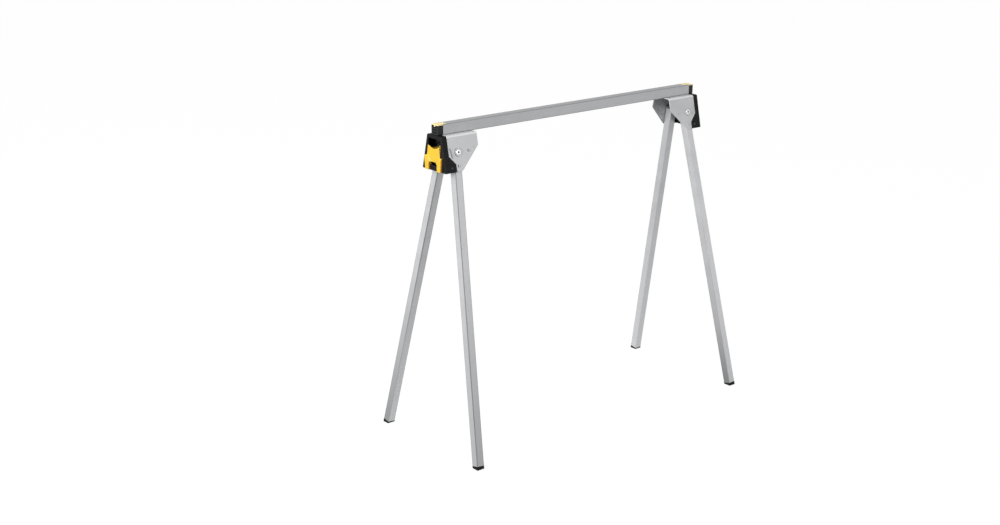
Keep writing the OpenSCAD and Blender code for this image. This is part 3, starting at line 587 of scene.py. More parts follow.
@dataclass(frozen=True)
class CoatedSteel:
    """Sheet or tube with a satin silver-grey coat, drawn along one axis of its zone."""

    name: str
    colour: Triple
    zone: Zone = Zone.WORLD
    grain: Triple = (14.0, 1500.0, 1500.0)
    metallic: float = 0.35
    rub_radius: float | None = None
    rub_factor: float = 1.45
    rim_share: float = 0.55
    rim_factor: float = 1.7
    lee_shade_factor: float = 0.12
    painted_corner_line_factor: float = 0.3
    tube: TubeForm | None = None
    shades: tuple[Shade, ...] = ()

    def build(self) -> Material:
        """Builds the coat: soft clouds, fine flake, drawn lines, a few scratches, lighter edges that are partly wear
        and partly painted highlight, and the painted light and shade of its bands, flanks and corner lines.
        """
        graph = MaterialGraph(self.name, self.zone)
        cloud, flake, patches = graph.noise(22.0, 4.0), graph.noise(2400.0, 1.0), graph.noise(35.0)
        drawn = graph.grain(3.0, self.grain)
        scratch = graph.times(graph.span(drawn, 0.62, 0.68), graph.span(patches, 0.5, 0.62))
        # Lighter edges: partly wear, partly painted highlight along the rounded edges.
        wear_and_edge_highlight = graph.times(graph.mark("rim"), graph.span(graph.noise(160.0, 3.0), 0.38, 0.62))
        layers = [(graph.span(cloud, 0.35, 0.65), 1.05), (graph.span(flake, 0.52, 0.75, 0.0, 0.35), 1.35),
                  (graph.times(scratch, 0.4), 1.5), (graph.times(wear_and_edge_highlight, self.rim_share), self.rim_factor)]
        # Painted light and shade from the coat's bands.
        for shade in self.shades:
            layers.append((graph.times(*(graph.band(*band) for band in shade.bands)), shade.factor))
        # Painted shade on the marked flanks of pressed forms.
        layers.append((graph.mark("lee"), self.lee_shade_factor))
        if self.rub_radius is not None:
            layers.append((self.rubbed(graph), self.rub_factor))
        # Painted reflection: a dark line along each rounded corner of the tube.
        if self.tube is not None:
            layers.append((self.tube.shade(graph), self.painted_corner_line_factor))
        colour = graph.layered(rgba(self.colour, 0.95),
                               ((share, rgba(self.colour, factor)) for share, factor in layers))
        rough = graph.calc("SUBTRACT", graph.span(cloud, 0.35, 0.65, 0.4, 0.5), graph.times(scratch, 0.12))
        height = graph.calc("ADD", graph.noise(520.0), graph.times(drawn, 0.5))
        return graph.finish(Base_Color=colour, Roughness=rough, Metallic=self.metallic,
                            Normal=graph.relief(height, 0.12, 0.0002))

    def rubbed(self, graph: MaterialGraph) -> Socket:
        """Share of the bright arc that a leg's button leaves on the inside of a plate."""
        distance = graph.rings((0.0, 0.0))
        off_track = graph.calc("ABSOLUTE", graph.calc("SUBTRACT", distance, self.rub_radius * MM))
        track = graph.span(off_track, 0.6 * MM, 2.2 * MM, 1.0, 0.0)
        streaks = graph.span(graph.noise(900.0, 3.0), 0.35, 0.6, 0.2, 0.8)
        return graph.times(track, graph.band("Y", -1.8, -1.2, 1.0, 0.0), streaks)


@dataclass(frozen=True)
class PlatedSteel:
    """Turned or drawn steel with a bright plating and fine rings or lines."""

    name: str
    colour: Triple = (0.78, 0.78, 0.76)
    zone: Zone = Zone.PLATE
    centre: tuple[float, float] | None = None
    metallic: float = 0.85
    rough_low: float = 0.22
    rough_high: float = 0.38

    def build(self) -> Material:
        """Builds the plating: turning rings or drawn lines, faint tarnish and polished rims."""
        graph = MaterialGraph(self.name, self.zone)
        tarnish = graph.noise(240.0, 4.0)
        if self.centre is None:
            lines = graph.grain(2.0, (900.0, 900.0, 5200.0))
        else:
            lines = graph.noise(5200.0, 2.0, graph.add("CombineXYZ", {"X": graph.rings(self.centre)}).outputs[0])
        colour = graph.layered(rgba(self.colour), [
            (graph.span(tarnish, 0.4, 0.66), rgba(self.colour, 0.72)),
            (graph.span(lines, 0.45, 0.7, 0.0, 0.35), rgba(self.colour, 1.15))])
        rough = graph.span(tarnish, 0.35, 0.65, self.rough_low, self.rough_high)
        rough = graph.calc("SUBTRACT", rough, graph.times(graph.mark("rim"), 0.06))
        return graph.finish(Base_Color=colour, Roughness=rough, Metallic=self.metallic,
                            Normal=graph.relief(lines, 0.15, 0.00005))


@dataclass(frozen=True)
class MouldedPlastic:
    """Moulded plastic with a fine eroded grain."""

    name: str
    colour: Triple
    tint: Triple
    zone: Zone = Zone.WORLD
    grain_scale: float = 1700.0
    grain_strength: float = 0.25
    rough_low: float = 0.42
    rough_high: float = 0.58
    scuff: float = 0.25
    scuff_colour: Triple = (0.16, 0.16, 0.165)
    specular: float = 0.45
    subsurface: float = 0.0
    wall_shade_colour: Triple | None = None

    def build(self) -> Material:
        """Builds the plastic: cloudy pigment, eroded grain, scuffs, lighter edges and, if given, painted shade on
        side walls.
        """
        graph = MaterialGraph(self.name, self.zone)
        pigment, grain = graph.noise(60.0, 3.0), graph.noise(self.grain_scale)
        scuffs = graph.span(graph.grain(4.0, (180.0, 420.0, 160.0)), 0.58, 0.7)
        scuffed = graph.times(scuffs, graph.span(graph.noise(28.0), 0.45, 0.6), self.scuff)
        edge = graph.times(graph.mark("rim"), graph.span(graph.noise(210.0, 3.0), 0.3, 0.6, 0.1, 0.35))
        layers = [(graph.span(pigment, 0.35, 0.65), rgba(self.tint)),
                  (graph.span(grain, 0.5, 0.75, 0.0, 0.18), rgba(self.tint, 1.3)),
                  (scuffed, rgba(self.scuff_colour))]
        # Painted shade: a deeper colour on the marked side walls.
        if self.wall_shade_colour is not None:
            layers.append((graph.mark("wall"), rgba(self.wall_shade_colour)))
        layers.append((edge, rgba(self.scuff_colour, 1.15)))
        rough = graph.span(pigment, 0.35, 0.65, self.rough_low, self.rough_high)
        rough = graph.calc("SUBTRACT", rough, graph.times(graph.mark("rim"), 0.1))
        return graph.finish(Base_Color=graph.layered(rgba(self.colour), layers), Roughness=rough, IOR=1.5,
                            Specular_IOR_Level=self.specular, Subsurface_Weight=self.subsurface,
                            Subsurface_Scale=0.002, Normal=graph.relief(grain, self.grain_strength, 0.00012))


def down_leg(low: float, high: float, start: float, end: float = 0.0) -> Band:
    """A band along a leg, with the share at two places on it: 0 is the pivot's height and 1 the floor."""
    return ("Z", -low * LAYOUT.pivot_height, -high * LAYOUT.pivot_height, start, end)


# Bands across a leg's outer and inner face, for painted shade on them.
OUTER_FACE: Band = ("X", 8.2, 9.6, 0.0, 0.6)
INNER_FACE: Band = ("X", -9.6, -8.2, 1.0, 0.0)
GREY: Triple = (0.5, 0.505, 0.515)
# A lighter copy of the grey, as painted light on the right legs.
PAINTED_LIGHTER_GREY: Triple = (0.54, 0.545, 0.555)


@dataclass(frozen=True)
class LegTone:
    """One leg's coat, with painted light and shade: its colour, the share of its painted corner lines and how it is
    painted lighter or darker toward the foot.
    """

    colour: Triple = GREY
    corner_share: float = 0.95
    corner_bands: tuple[Band, ...] = ()
    shades: tuple[Shade, ...] = (Shade(0.78, (down_leg(1.0, 0.35, 0.95),)),)


# Painted light and shade per leg: each coat is painted lighter or darker toward the foot and on one face, as the
# light falls on that leg.
LEG_TONES: dict[Corner, LegTone] = {
    (End.LEFT, Side.FRONT): LegTone(),
    (End.LEFT, Side.BACK): LegTone(corner_bands=(down_leg(1.0, 0.35, 0.1, 1.0),), shades=(
        Shade(1.3, (down_leg(1.0, 0.35, 0.95),)), Shade(0.05, (OUTER_FACE, down_leg(1.0, 0.35, 1.0))))),
    (End.RIGHT, Side.FRONT): LegTone(PAINTED_LIGHTER_GREY, 0.25, shades=(
        Shade(0.78, (down_leg(1.0, 0.35, 0.5),)), Shade(0.05, (INNER_FACE, down_leg(0.82, 0.45, 0.188))),
        Shade(0.05, (INNER_FACE, down_leg(1.0, 0.8, 0.465))))),
    (End.RIGHT, Side.BACK): LegTone(PAINTED_LIGHTER_GREY, 0.15, shades=(Shade(1.3, (down_leg(1.0, 0.35, 0.9),)),))}

# Painted shade on the leg's stub above the pivot, inside the housing.
LEG_STUB_SHADE = Shade(0.12, (("Z", 2.0, 5.0, 0.0, 0.9),))
# Painted highlight along the bracket's top bend.
SADDLE_FOLD_HIGHLIGHT = Shade(1.6, (("Z", 35.2, 37.1, 0.0, 0.9),))
# Painted shade on the inside of the plate, in the pocket behind the latch.
SADDLE_POCKET_SHADE = Shade(0.05, (("Y", -1.2, -0.8, 0.95, 0.0), ("X", 3.0, 6.0, 0.0, 1.0), ("Z", 26.0, 30.0, 1.0, 0.0)))


class Finishes:
    """All finishes of the trestle, built once."""

    def __init__(self) -> None:
        """Builds every material."""
        beam_half, middle = LAYOUT.beam_height / 2, LAYOUT.beam_middle
        # Painted shade on the beam's top face.
        beam_top_shade = Shade(0.72, (("Z", middle + beam_half - 0.8, middle + beam_half - 0.1, 0.0, 0.5),))
        self.beam = CoatedSteel("beam coat", (0.4, 0.405, 0.412), shades=(beam_top_shade,),
                                tube=TubeForm("X", beam_half, 2.2, middle, 0.5)).build()
        self.legs: dict[Corner, Material] = {}
        for corner, tone in LEG_TONES.items():
            form = TubeForm("Z", LAYOUT.leg_size / 2, 2.5, share=tone.corner_share, bands=tone.corner_bands)
            self.legs[corner] = CoatedSteel(label("leg_coat", *corner), tone.colour, Zone.LEG, (1500.0, 1500.0, 14.0),
                                            tube=form, shades=(*tone.shades, LEG_STUB_SHADE)).build()
        # The saddle's edges are lightened more strongly: wear, and a painted highlight along its cut edges.
        self.saddle = CoatedSteel("saddle coat", GREY, Zone.PLATE, (40.0, 40.0, 900.0), rim_share=0.9,
                                  rub_radius=LAYOUT.detent_reach, shades=(SADDLE_FOLD_HIGHLIGHT, SADDLE_POCKET_SHADE)).build()
        self.rivet = PlatedSteel("pivot rivet plating", centre=(0.0, 0.0)).build()
        self.button = PlatedSteel("button plating", zone=Zone.LEG, centre=(0.0, -LAYOUT.detent_reach)).build()
        self.fastener = PlatedSteel("fastener plating", zone=Zone.WORLD).build()
        self.spring = PlatedSteel("dark spring wire", (0.045, 0.045, 0.046), Zone.WORLD, metallic=0.6,
                                  rough_low=0.45, rough_high=0.6).build()
        self.screw = PlatedSteel("black screw", (0.05, 0.05, 0.052), centre=LAYOUT.screw_place, metallic=0.6,
                                 rough_low=0.35, rough_high=0.5).build()
        self.black = MouldedPlastic("black moulding", (0.007, 0.007, 0.008), (0.011, 0.011, 0.012),
                                    scuff_colour=(0.06, 0.06, 0.062), specular=0.09).build()
        # A darker copy of the black moulding, as painted shade inside the housing.
        self.inside = MouldedPlastic("black moulding inside", (0.002, 0.002, 0.002), (0.004, 0.0035, 0.0035),
                                     scuff=0.0, specular=0.02, rough_low=0.7, rough_high=0.85).build()
        self.cap = MouldedPlastic("black cap moulding", (0.009, 0.0095, 0.0095), (0.014, 0.0145, 0.014),
                                  rough_low=0.48, rough_high=0.62, scuff_colour=(0.06, 0.06, 0.06),
                                  specular=0.22).build()
        self.foot = MouldedPlastic("foot rubber", (0.007, 0.007, 0.007), (0.012, 0.0115, 0.011),
                                   grain_scale=1100.0, grain_strength=0.45, rough_low=0.62, rough_high=0.8,
                                   scuff=0.4, scuff_colour=(0.08, 0.076, 0.07), specular=0.12).build()
        self.washer = MouldedPlastic("washer nylon", (0.03, 0.03, 0.032), (0.045, 0.045, 0.045), Zone.PLATE,
                                     rough_low=0.35, rough_high=0.45).build()
        self.yellow = MouldedPlastic("yellow moulding", (0.72, 0.44, 0.018), (0.76, 0.5, 0.028),
                                     grain_strength=0.15, rough_low=0.3, rough_high=0.42, scuff=0.12,
                                     scuff_colour=(0.95, 0.74, 0.2), specular=0.4, subsurface=0.06,
                                     wall_shade_colour=(0.66, 0.26, 0.012)).build()
        # The insert's yellow is paled all over, as a painted highlight on its top.
        self.insert = MouldedPlastic("pale yellow insert", (0.95, 0.74, 0.32), (0.97, 0.82, 0.46),
                                     grain_strength=0.15, rough_low=0.35, rough_high=0.5, scuff=0.15,
                                     scuff_colour=(0.95, 0.85, 0.5), specular=0.4).build()


def dress(piece: Piece, finish: Material, body: str, node: str, angle: float = 50.0) -> None:
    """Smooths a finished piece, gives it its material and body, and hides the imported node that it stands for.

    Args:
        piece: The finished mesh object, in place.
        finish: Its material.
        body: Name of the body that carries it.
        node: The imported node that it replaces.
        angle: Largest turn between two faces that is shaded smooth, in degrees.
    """
    smooth(piece, angle)
    piece.data.materials.clear()
    piece.data.materials.append(finish)
    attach(piece, body)
    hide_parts(node)
    log.info("%s rides on %s with %d faces", piece.name, body, len(piece.data.polygons))


# Sub-assemblies


@dataclass
class Beam:
    """The beam's tube with its capped ends."""

    cap_start: float = LAYOUT.beam_overhang
    cap_end: float = 40.0
    half: float = LAYOUT.beam_height / 2
    bottom: float = LAYOUT.pivot_drop
    top: float = LAYOUT.pivot_drop + LAYOUT.beam_height
    insert_thickness: float = 2.0
    corner: float = 2.2
    tongue_length: float = 13.0
    tongue_half: float = 8.5
    tongue_thickness: float = 1.5
    tab_half: float = 2.5
    tab_inset: float = 1.2
    tab_drop: float = 3.2
    tab_gap: float = 0.15
    plug_gap: float = 1.65
    plug_length: float = 28.0
    plug_wall: float = 2.0
    plug_headroom: float = 0.6
    cap_edge: float = 1.2
    pad_edges: tuple[float, float] = (1.6, 1.0)
    louvre_pitch: float = 6.0
    louvre_drop: float = 1.0
    louvre_start: float = 3.6
    louvre_reach: tuple[float, float] = (-8.0, 4.0)
    louvre_height: float = 2.4
    louvre_half: float = 8.0
    louvre_slope: float = 18.0
    louvre_edge: float = 0.9
    groove_pitch: float = 2.8
    groove_half: float = 0.5
    groove_depth: float = 0.5
    groove_margin: float = 1.0
    groove_count: int = 10

    @property
    def split(self) -> float:
        """Height at which the yellow insert lies on the black cap."""
        return self.top - self.insert_thickness

    def build_cap(self) -> Piece:
        """Models one end cap: flange, sloping louvre slots and the hollow plug in the tube."""
        split, outer = self.split, self.cap_end - EPS
        cap = add_box("cap", (self.cap_start, -self.half, self.bottom), (self.cap_end, self.half, split))
        round_edges(cap, lambda a, b: lengthwise(a, b) and a.z < self.bottom + EPS, self.corner)
        round_edges(cap, lambda a, b: min(a.x, b.x) > outer and min(a.z, b.z) < split - 1.0, self.cap_edge)
        middle = (self.bottom + split) / 2 - self.louvre_drop
        slope = Matrix.Rotation(math.radians(self.louvre_slope), 4, "Y")
        for i in (-1, 0, 1):
            slot = add_box("slot", (self.louvre_reach[0], -self.louvre_half, -self.louvre_height / 2),
                           (self.louvre_reach[1], self.louvre_half, self.louvre_height / 2))
            round_edges(slot, lengthwise, self.louvre_edge, 3)
            spot = (self.cap_end + self.louvre_start, 0.0, middle + i * self.louvre_pitch)
            place(slot, Matrix.Translation(spot) @ slope)
            combine(cap, slot)
        notch_half = self.tab_half + self.tab_gap
        combine(cap, add_box("notch", (self.cap_end - self.tab_inset, -notch_half, split - self.tab_drop),
                             (self.cap_end + OVERREACH, notch_half, split + OVERREACH)))
        soften(cap, 0.3)
        return join("cap", [cap, self.build_plug()])

    def build_plug(self) -> Piece:
        """Models the hollow plug inside the tube."""
        half, wall = self.half - self.plug_gap, self.plug_wall
        low, high = self.bottom + self.plug_gap, self.top - self.plug_gap - self.plug_headroom
        start = self.cap_start - self.plug_length
        plug = add_box("plug", (start, -half, low), (self.cap_start + 0.5, half, high))
        combine(plug, add_box("pocket", (start - OVERREACH, wall - half, low + wall),
                              (self.cap_start - wall, half - wall, high - wall)))
        soften(plug, 0.4)
        return plug

    def build_insert(self) -> Piece:
        """Models one yellow insert: pad over the cap, tongue in the tube's wall and end tab."""
        split, outer = self.split, self.cap_end - EPS
        pad = add_box("pad", (self.cap_start, -self.half, split), (self.cap_end, self.half, self.top))
        top_edge, end_edge = self.pad_edges
        round_edges(pad, lambda a, b: lengthwise(a, b) and a.z > self.top - EPS, top_edge)
        round_edges(pad, lambda a, b: min(a.x, b.x) > outer and min(a.z, b.z) > split + EPS, end_edge)
        tongue = add_box("tongue", (self.cap_start - self.tongue_length, -self.tongue_half,
                                    self.top - self.tongue_thickness),
                         (self.cap_start + OVERREACH, self.tongue_half, self.top))
        combine(pad, tongue, "UNION")
        tab = add_box("tab", (self.cap_end - self.tab_inset, -self.tab_half, split - self.tab_drop),
                      (self.cap_end - 0.05, self.tab_half, split + OVERREACH))
        combine(pad, tab, "UNION")
        side = self.tongue_half - self.groove_margin
        for i in range(1, self.groove_count):
            x = self.cap_end - i * self.groove_pitch
            combine(pad, add_box("groove", (x - self.groove_half, -side, self.top - self.groove_depth),
                                 (x + self.groove_half, side, self.top + OVERREACH)))
        soften(pad, 0.18)
        return pad

    def build(self, finishes: Finishes) -> None:
        """Builds the beam's pieces and dresses them."""
        dress(copy_node("beam_tube", "beam_shell"), finishes.beam, "root", "beam_tube")
        for end in End:
            for part, model, finish, slot in (("end_cap", self.build_cap, finishes.cap, "black_plastic"),
                                              ("top_insert", self.build_insert, finishes.insert, "yellow_plastic")):
                piece = place(model(), LAYOUT.at_end(end))
                piece.name = label(part, "moulding", end)
                dress(piece, finish, "root", label(part, end))


@dataclass(frozen=True)
class Dimple:
    """A low dome pressed out of a plate, with a hollow behind it.

    Attributes:
        radius: Radius of the dome at the plate's outer face.
        height: How far the dome stands proud.
        recess: Depth of the hollow behind it.
        wall: How much smaller the hollow's radius is.
    """

    radius: float
    height: float
    recess: float
    wall: float = 0.5

    def build(self, spot: Triple) -> Piece:
        """Models the dimple at a spot on the plate, in the plate's frame."""
        ball = (self.radius ** 2 + self.height ** 2) / (2 * self.height)
        sweep = math.degrees(math.asin(self.radius / ball)) + 1.0
        outside = arc((0.0, self.height - ball), ball, 90.0, 90.0 - sweep, 8)
        inner = self.radius - self.wall
        inner_ball = (inner ** 2 + self.recess ** 2) / (2 * self.recess)
        inner_sweep = math.degrees(math.asin(inner / inner_ball)) - 2.0
        crown = self.recess - LAYOUT.plate_thickness
        inside = arc((0.0, crown - inner_ball), inner_ball, 90.0 - inner_sweep, 90.0, 6)
        profile = [(0.0, outside[0][1]), *outside[1:], (outside[-1][0], inside[0][1]), *inside[:-1],
                   (0.0, inside[-1][1])]
        return place(add_turned("dimple", profile, 32), Matrix.Translation(spot) @ TURNED)


@dataclass
class Bracket:
    """A saddle bracket with its rivets."""

    edge: float = 0.6
    cut_angle: float = 60.0
    press_angle: float = 40.0
    dimple: Dimple = Dimple(4.0, 1.2, 1.0)
    pip: Dimple = Dimple(1.7, 0.4, 0.3)
    pip_spot: Triple = (-47.0, 0.0, 6.5)
    nest_pitch: float = 22.2
    form_top: float = 30.0
    # Share of painted shade on the pressed flanks that face the left end.
    lee_shade_share: dict[End, float] = field(default_factory=lambda: {End.LEFT: 0.9, End.RIGHT: 0.35})
    rivet_start: float = 8.0
    rivet_pitch: float = 20.0
    rivet_count: int = 3
    rivet_profile: Outline = field(default_factory=lambda: [
        (0.0, -3.3), (1.1, -3.3), (1.3, -3.5), (2.6, -3.4), (3.8, -2.9), (4.4, -2.3), (4.4, -2.0),
        (2.4, -2.0), (2.4, 1.5), (3.4, 1.5), (3.5, 3.1), (2.6, 4.1), (1.4, 4.5), (0.0, 4.5)])
    pivot_profile: Outline = field(default_factory=lambda: [
        (4.0, -23.1), (4.0, 1.0), (6.3, 1.0), (6.3, 1.45), *arc((5.1, 1.5), 1.2, 0.0, 78.0, 6)[1:],
        (4.6, 2.8), (3.6, 2.8), *arc((3.2, 2.0), 0.8, 90.0, 180.0, 4), (2.4, -24.0),
        *arc((3.3, -24.0), 0.9, 180.0, 270.0, 4), (4.5, -24.9), *arc((4.6, -23.8), 1.1, 270.0, 360.0, 5),
        (5.7, -23.1)])

    def build_plates(self, end: End, finishes: Finishes) -> None:
        """Builds the pressed sheet with rounded cut edges and the dimples that close its two plain holes."""
        name = label("saddle_sheet", end)
        sheet = copy_node(label("saddle", end), name)
        soften(sheet, self.edge * MM, 3, self.cut_angle)
        tilt = math.asin(self.nest_pitch / (2 * LAYOUT.pivot_x))
        reach = LAYOUT.detent_reach
        nest = (-reach * math.cos(tilt), 0.0, -end.value * reach * math.sin(tilt))
        for side in Side:
            presses = [place(press.build(spot), LAYOUT.on_plate(end, side))
                       for press, spot in ((self.dimple, nest), (self.pip, self.pip_spot))]
            sheet = join(name, [sheet, *presses])
        self.mark_lee(sheet, end)
        dress(sheet, finishes.saddle, "root", label("saddle", end), self.press_angle)

    def mark_lee(self, sheet: Piece, end: End) -> None:
        """Marks the flanks of the pressed forms that face the left end, for painted shade on them, as they look dark
        in the photograph.
        """
        frames = {side: LAYOUT.on_plate(end, side) for side in Side}
        inverses = {side: matrix.inverted() for side, matrix in frames.items()}
        outwards = {side: (matrix.to_3x3() @ Vector((0.0, 1.0, 0.0))).normalized()
                    for side, matrix in frames.items()}

        def lee_of(centre: Vector, normal: Vector) -> float:
            side = Side.BACK if centre.y > 0 else Side.FRONT
            point = inverses[side] @ centre
            on_form = -0.3 < point.y < self.dimple.height + 0.2 and point.z < self.form_top
            if not (on_form and 0.3 < normal.dot(outwards[side]) < 0.99):
                return 0.0
            return self.lee_shade_share[end] * smooth_step(-normal.x, 0.08, 0.35)

        mark_faces(sheet, "lee", lee_of)

    def build_flange_rivets(self, end: End, finishes: Finishes) -> None:
        """Builds the blind rivets that hold the bracket's flange to the beam."""
        rivets = []
        for i in range(self.rivet_count):
            rivet = add_turned("rivet", self.rivet_profile, 32)
            soften(rivet, 0.08)
            spot = (-self.rivet_start - i * self.rivet_pitch, 0.0, LAYOUT.pivot_drop)
            rivets.append(place(rivet, Matrix.Translation(spot)))
        piece = place(join(label("flange_rivets", end), rivets), LAYOUT.at_end(end))
        dress(piece, finishes.fastener, "root", label("saddle_rivets", end))

    def build_pivot(self, end: End, side: Side, finishes: Finishes) -> None:
        """Builds one hollow pivot rivet with a rolled head and tail."""
        piece = add_turned(label("pivot_pin", end, side), self.pivot_profile, 56)
        soften(piece, 0.1, angle=50.0)
        place(piece, LAYOUT.on_plate(end, side) @ TURNED)
        dress(piece, finishes.rivet, "root", label("pivot_rivet", end, side))

    def build(self, finishes: Finishes) -> None:
        """Builds both brackets."""
        for end in End:
            self.build_plates(end, finishes)
            self.build_flange_rivets(end, finishes)
        for end, side in CORNERS:
            self.build_pivot(end, side, finishes)


@dataclass
class Housing:
    """A latch housing with its cross brace and side screws."""

    edge: float = 0.5
    inner_face: float = 38.5
    wall_depth: float = 4.0
    ceiling: float = 36.5
    screw_head: float = 3.1
    screw_shank: float = 1.6
    screw_seat: float = -1.3
    screw_top: float = 0.5
    screw_turn: float = 28.0
    thread_start: float = 0.6
    thread_pitch: float = 0.62
    thread_depth: float = 0.35
    thread_turns: int = 18
    recess_length: float = 1.8
    recess_half: float = 0.42
    recess_floor: float = -0.4

    def build_shell(self, end: End, finishes: Finishes) -> None:
        """Builds the moulded shell with rounded edges, and the brace across it."""
        shell = copy_node(label("latch_housing", end), label("housing_shell", end))
        soften(shell, self.edge * MM, 3)
        dress(shell, finishes.black, "root", label("latch_housing", end))
        self.paint_cavity_shade(shell, end, finishes)
        brace = copy_node(label("cross_brace", end), label("brace_bar", end))
        dress(brace, finishes.black, "root", label("cross_brace", end))

    def paint_cavity_shade(self, shell: Piece, end: End, finishes: Finishes) -> None:
        """Gives the faces inside the shell's walls a darker copy of the black moulding, as painted shade in the
        cavity.
        """
        shell.data.materials.append(finishes.inside)
        inverse = LAYOUT.at_end(end).inverted()
        for face in shell.data.polygons:
            centre = inverse @ face.center
            slope = LAYOUT.plate_offset - centre.z * math.tan(math.radians(LAYOUT.splay))
            within = abs(centre.y) < slope - self.wall_depth and centre.z < self.ceiling
            if within and centre.x < self.inner_face + EPS:
                face.material_index = 1

    def build_screw(self) -> Piece:
        """Models one pan-head screw, with a domed head, a cross recess and a threaded shank."""
        head, top, seat, shank = self.screw_head, self.screw_top, self.screw_seat, self.screw_shank
        profile = [(0.0, top), (1.2, top - 0.05), (2.2, top - 0.35), (2.8, top - 0.8), (head, top - 1.3),
                   (head, seat), (shank, seat)]
        for i in range(self.thread_turns):
            z = seat - self.thread_start - i * self.thread_pitch
            profile += [(shank, z), (shank - self.thread_depth, z - self.thread_pitch / 2)]
        profile += [(0.9, -13.1), (0.0, -13.3)]
        screw = add_turned("screw", profile, 40)
        for x, y in ((self.recess_length, self.recess_half), (self.recess_half, self.recess_length)):
            combine(screw, add_box("recess", (-x, -y, self.recess_floor), (x, y, OVERREACH)))
        soften(screw, 0.06, angle=45.0)
        return screw

    def build_screws(self, end: End, finishes: Finishes) -> None:
        """Builds the two side screws of one housing."""
        x, z = LAYOUT.screw_place
        local = Matrix.Translation((x, 0.0, z)) @ TURNED @ Matrix.Rotation(math.radians(self.screw_turn), 4, "Z")
        screws = [place(self.build_screw(), LAYOUT.on_plate(end, side) @ local) for side in Side]
        dress(join(label("side_screws", end), screws), finishes.screw, "root",
              label("housing_screws", end))

    def build(self, finishes: Finishes) -> None:
        """Builds both housings."""
        for end in End:
            self.build_shell(end, finishes)
            self.build_screws(end, finishes)


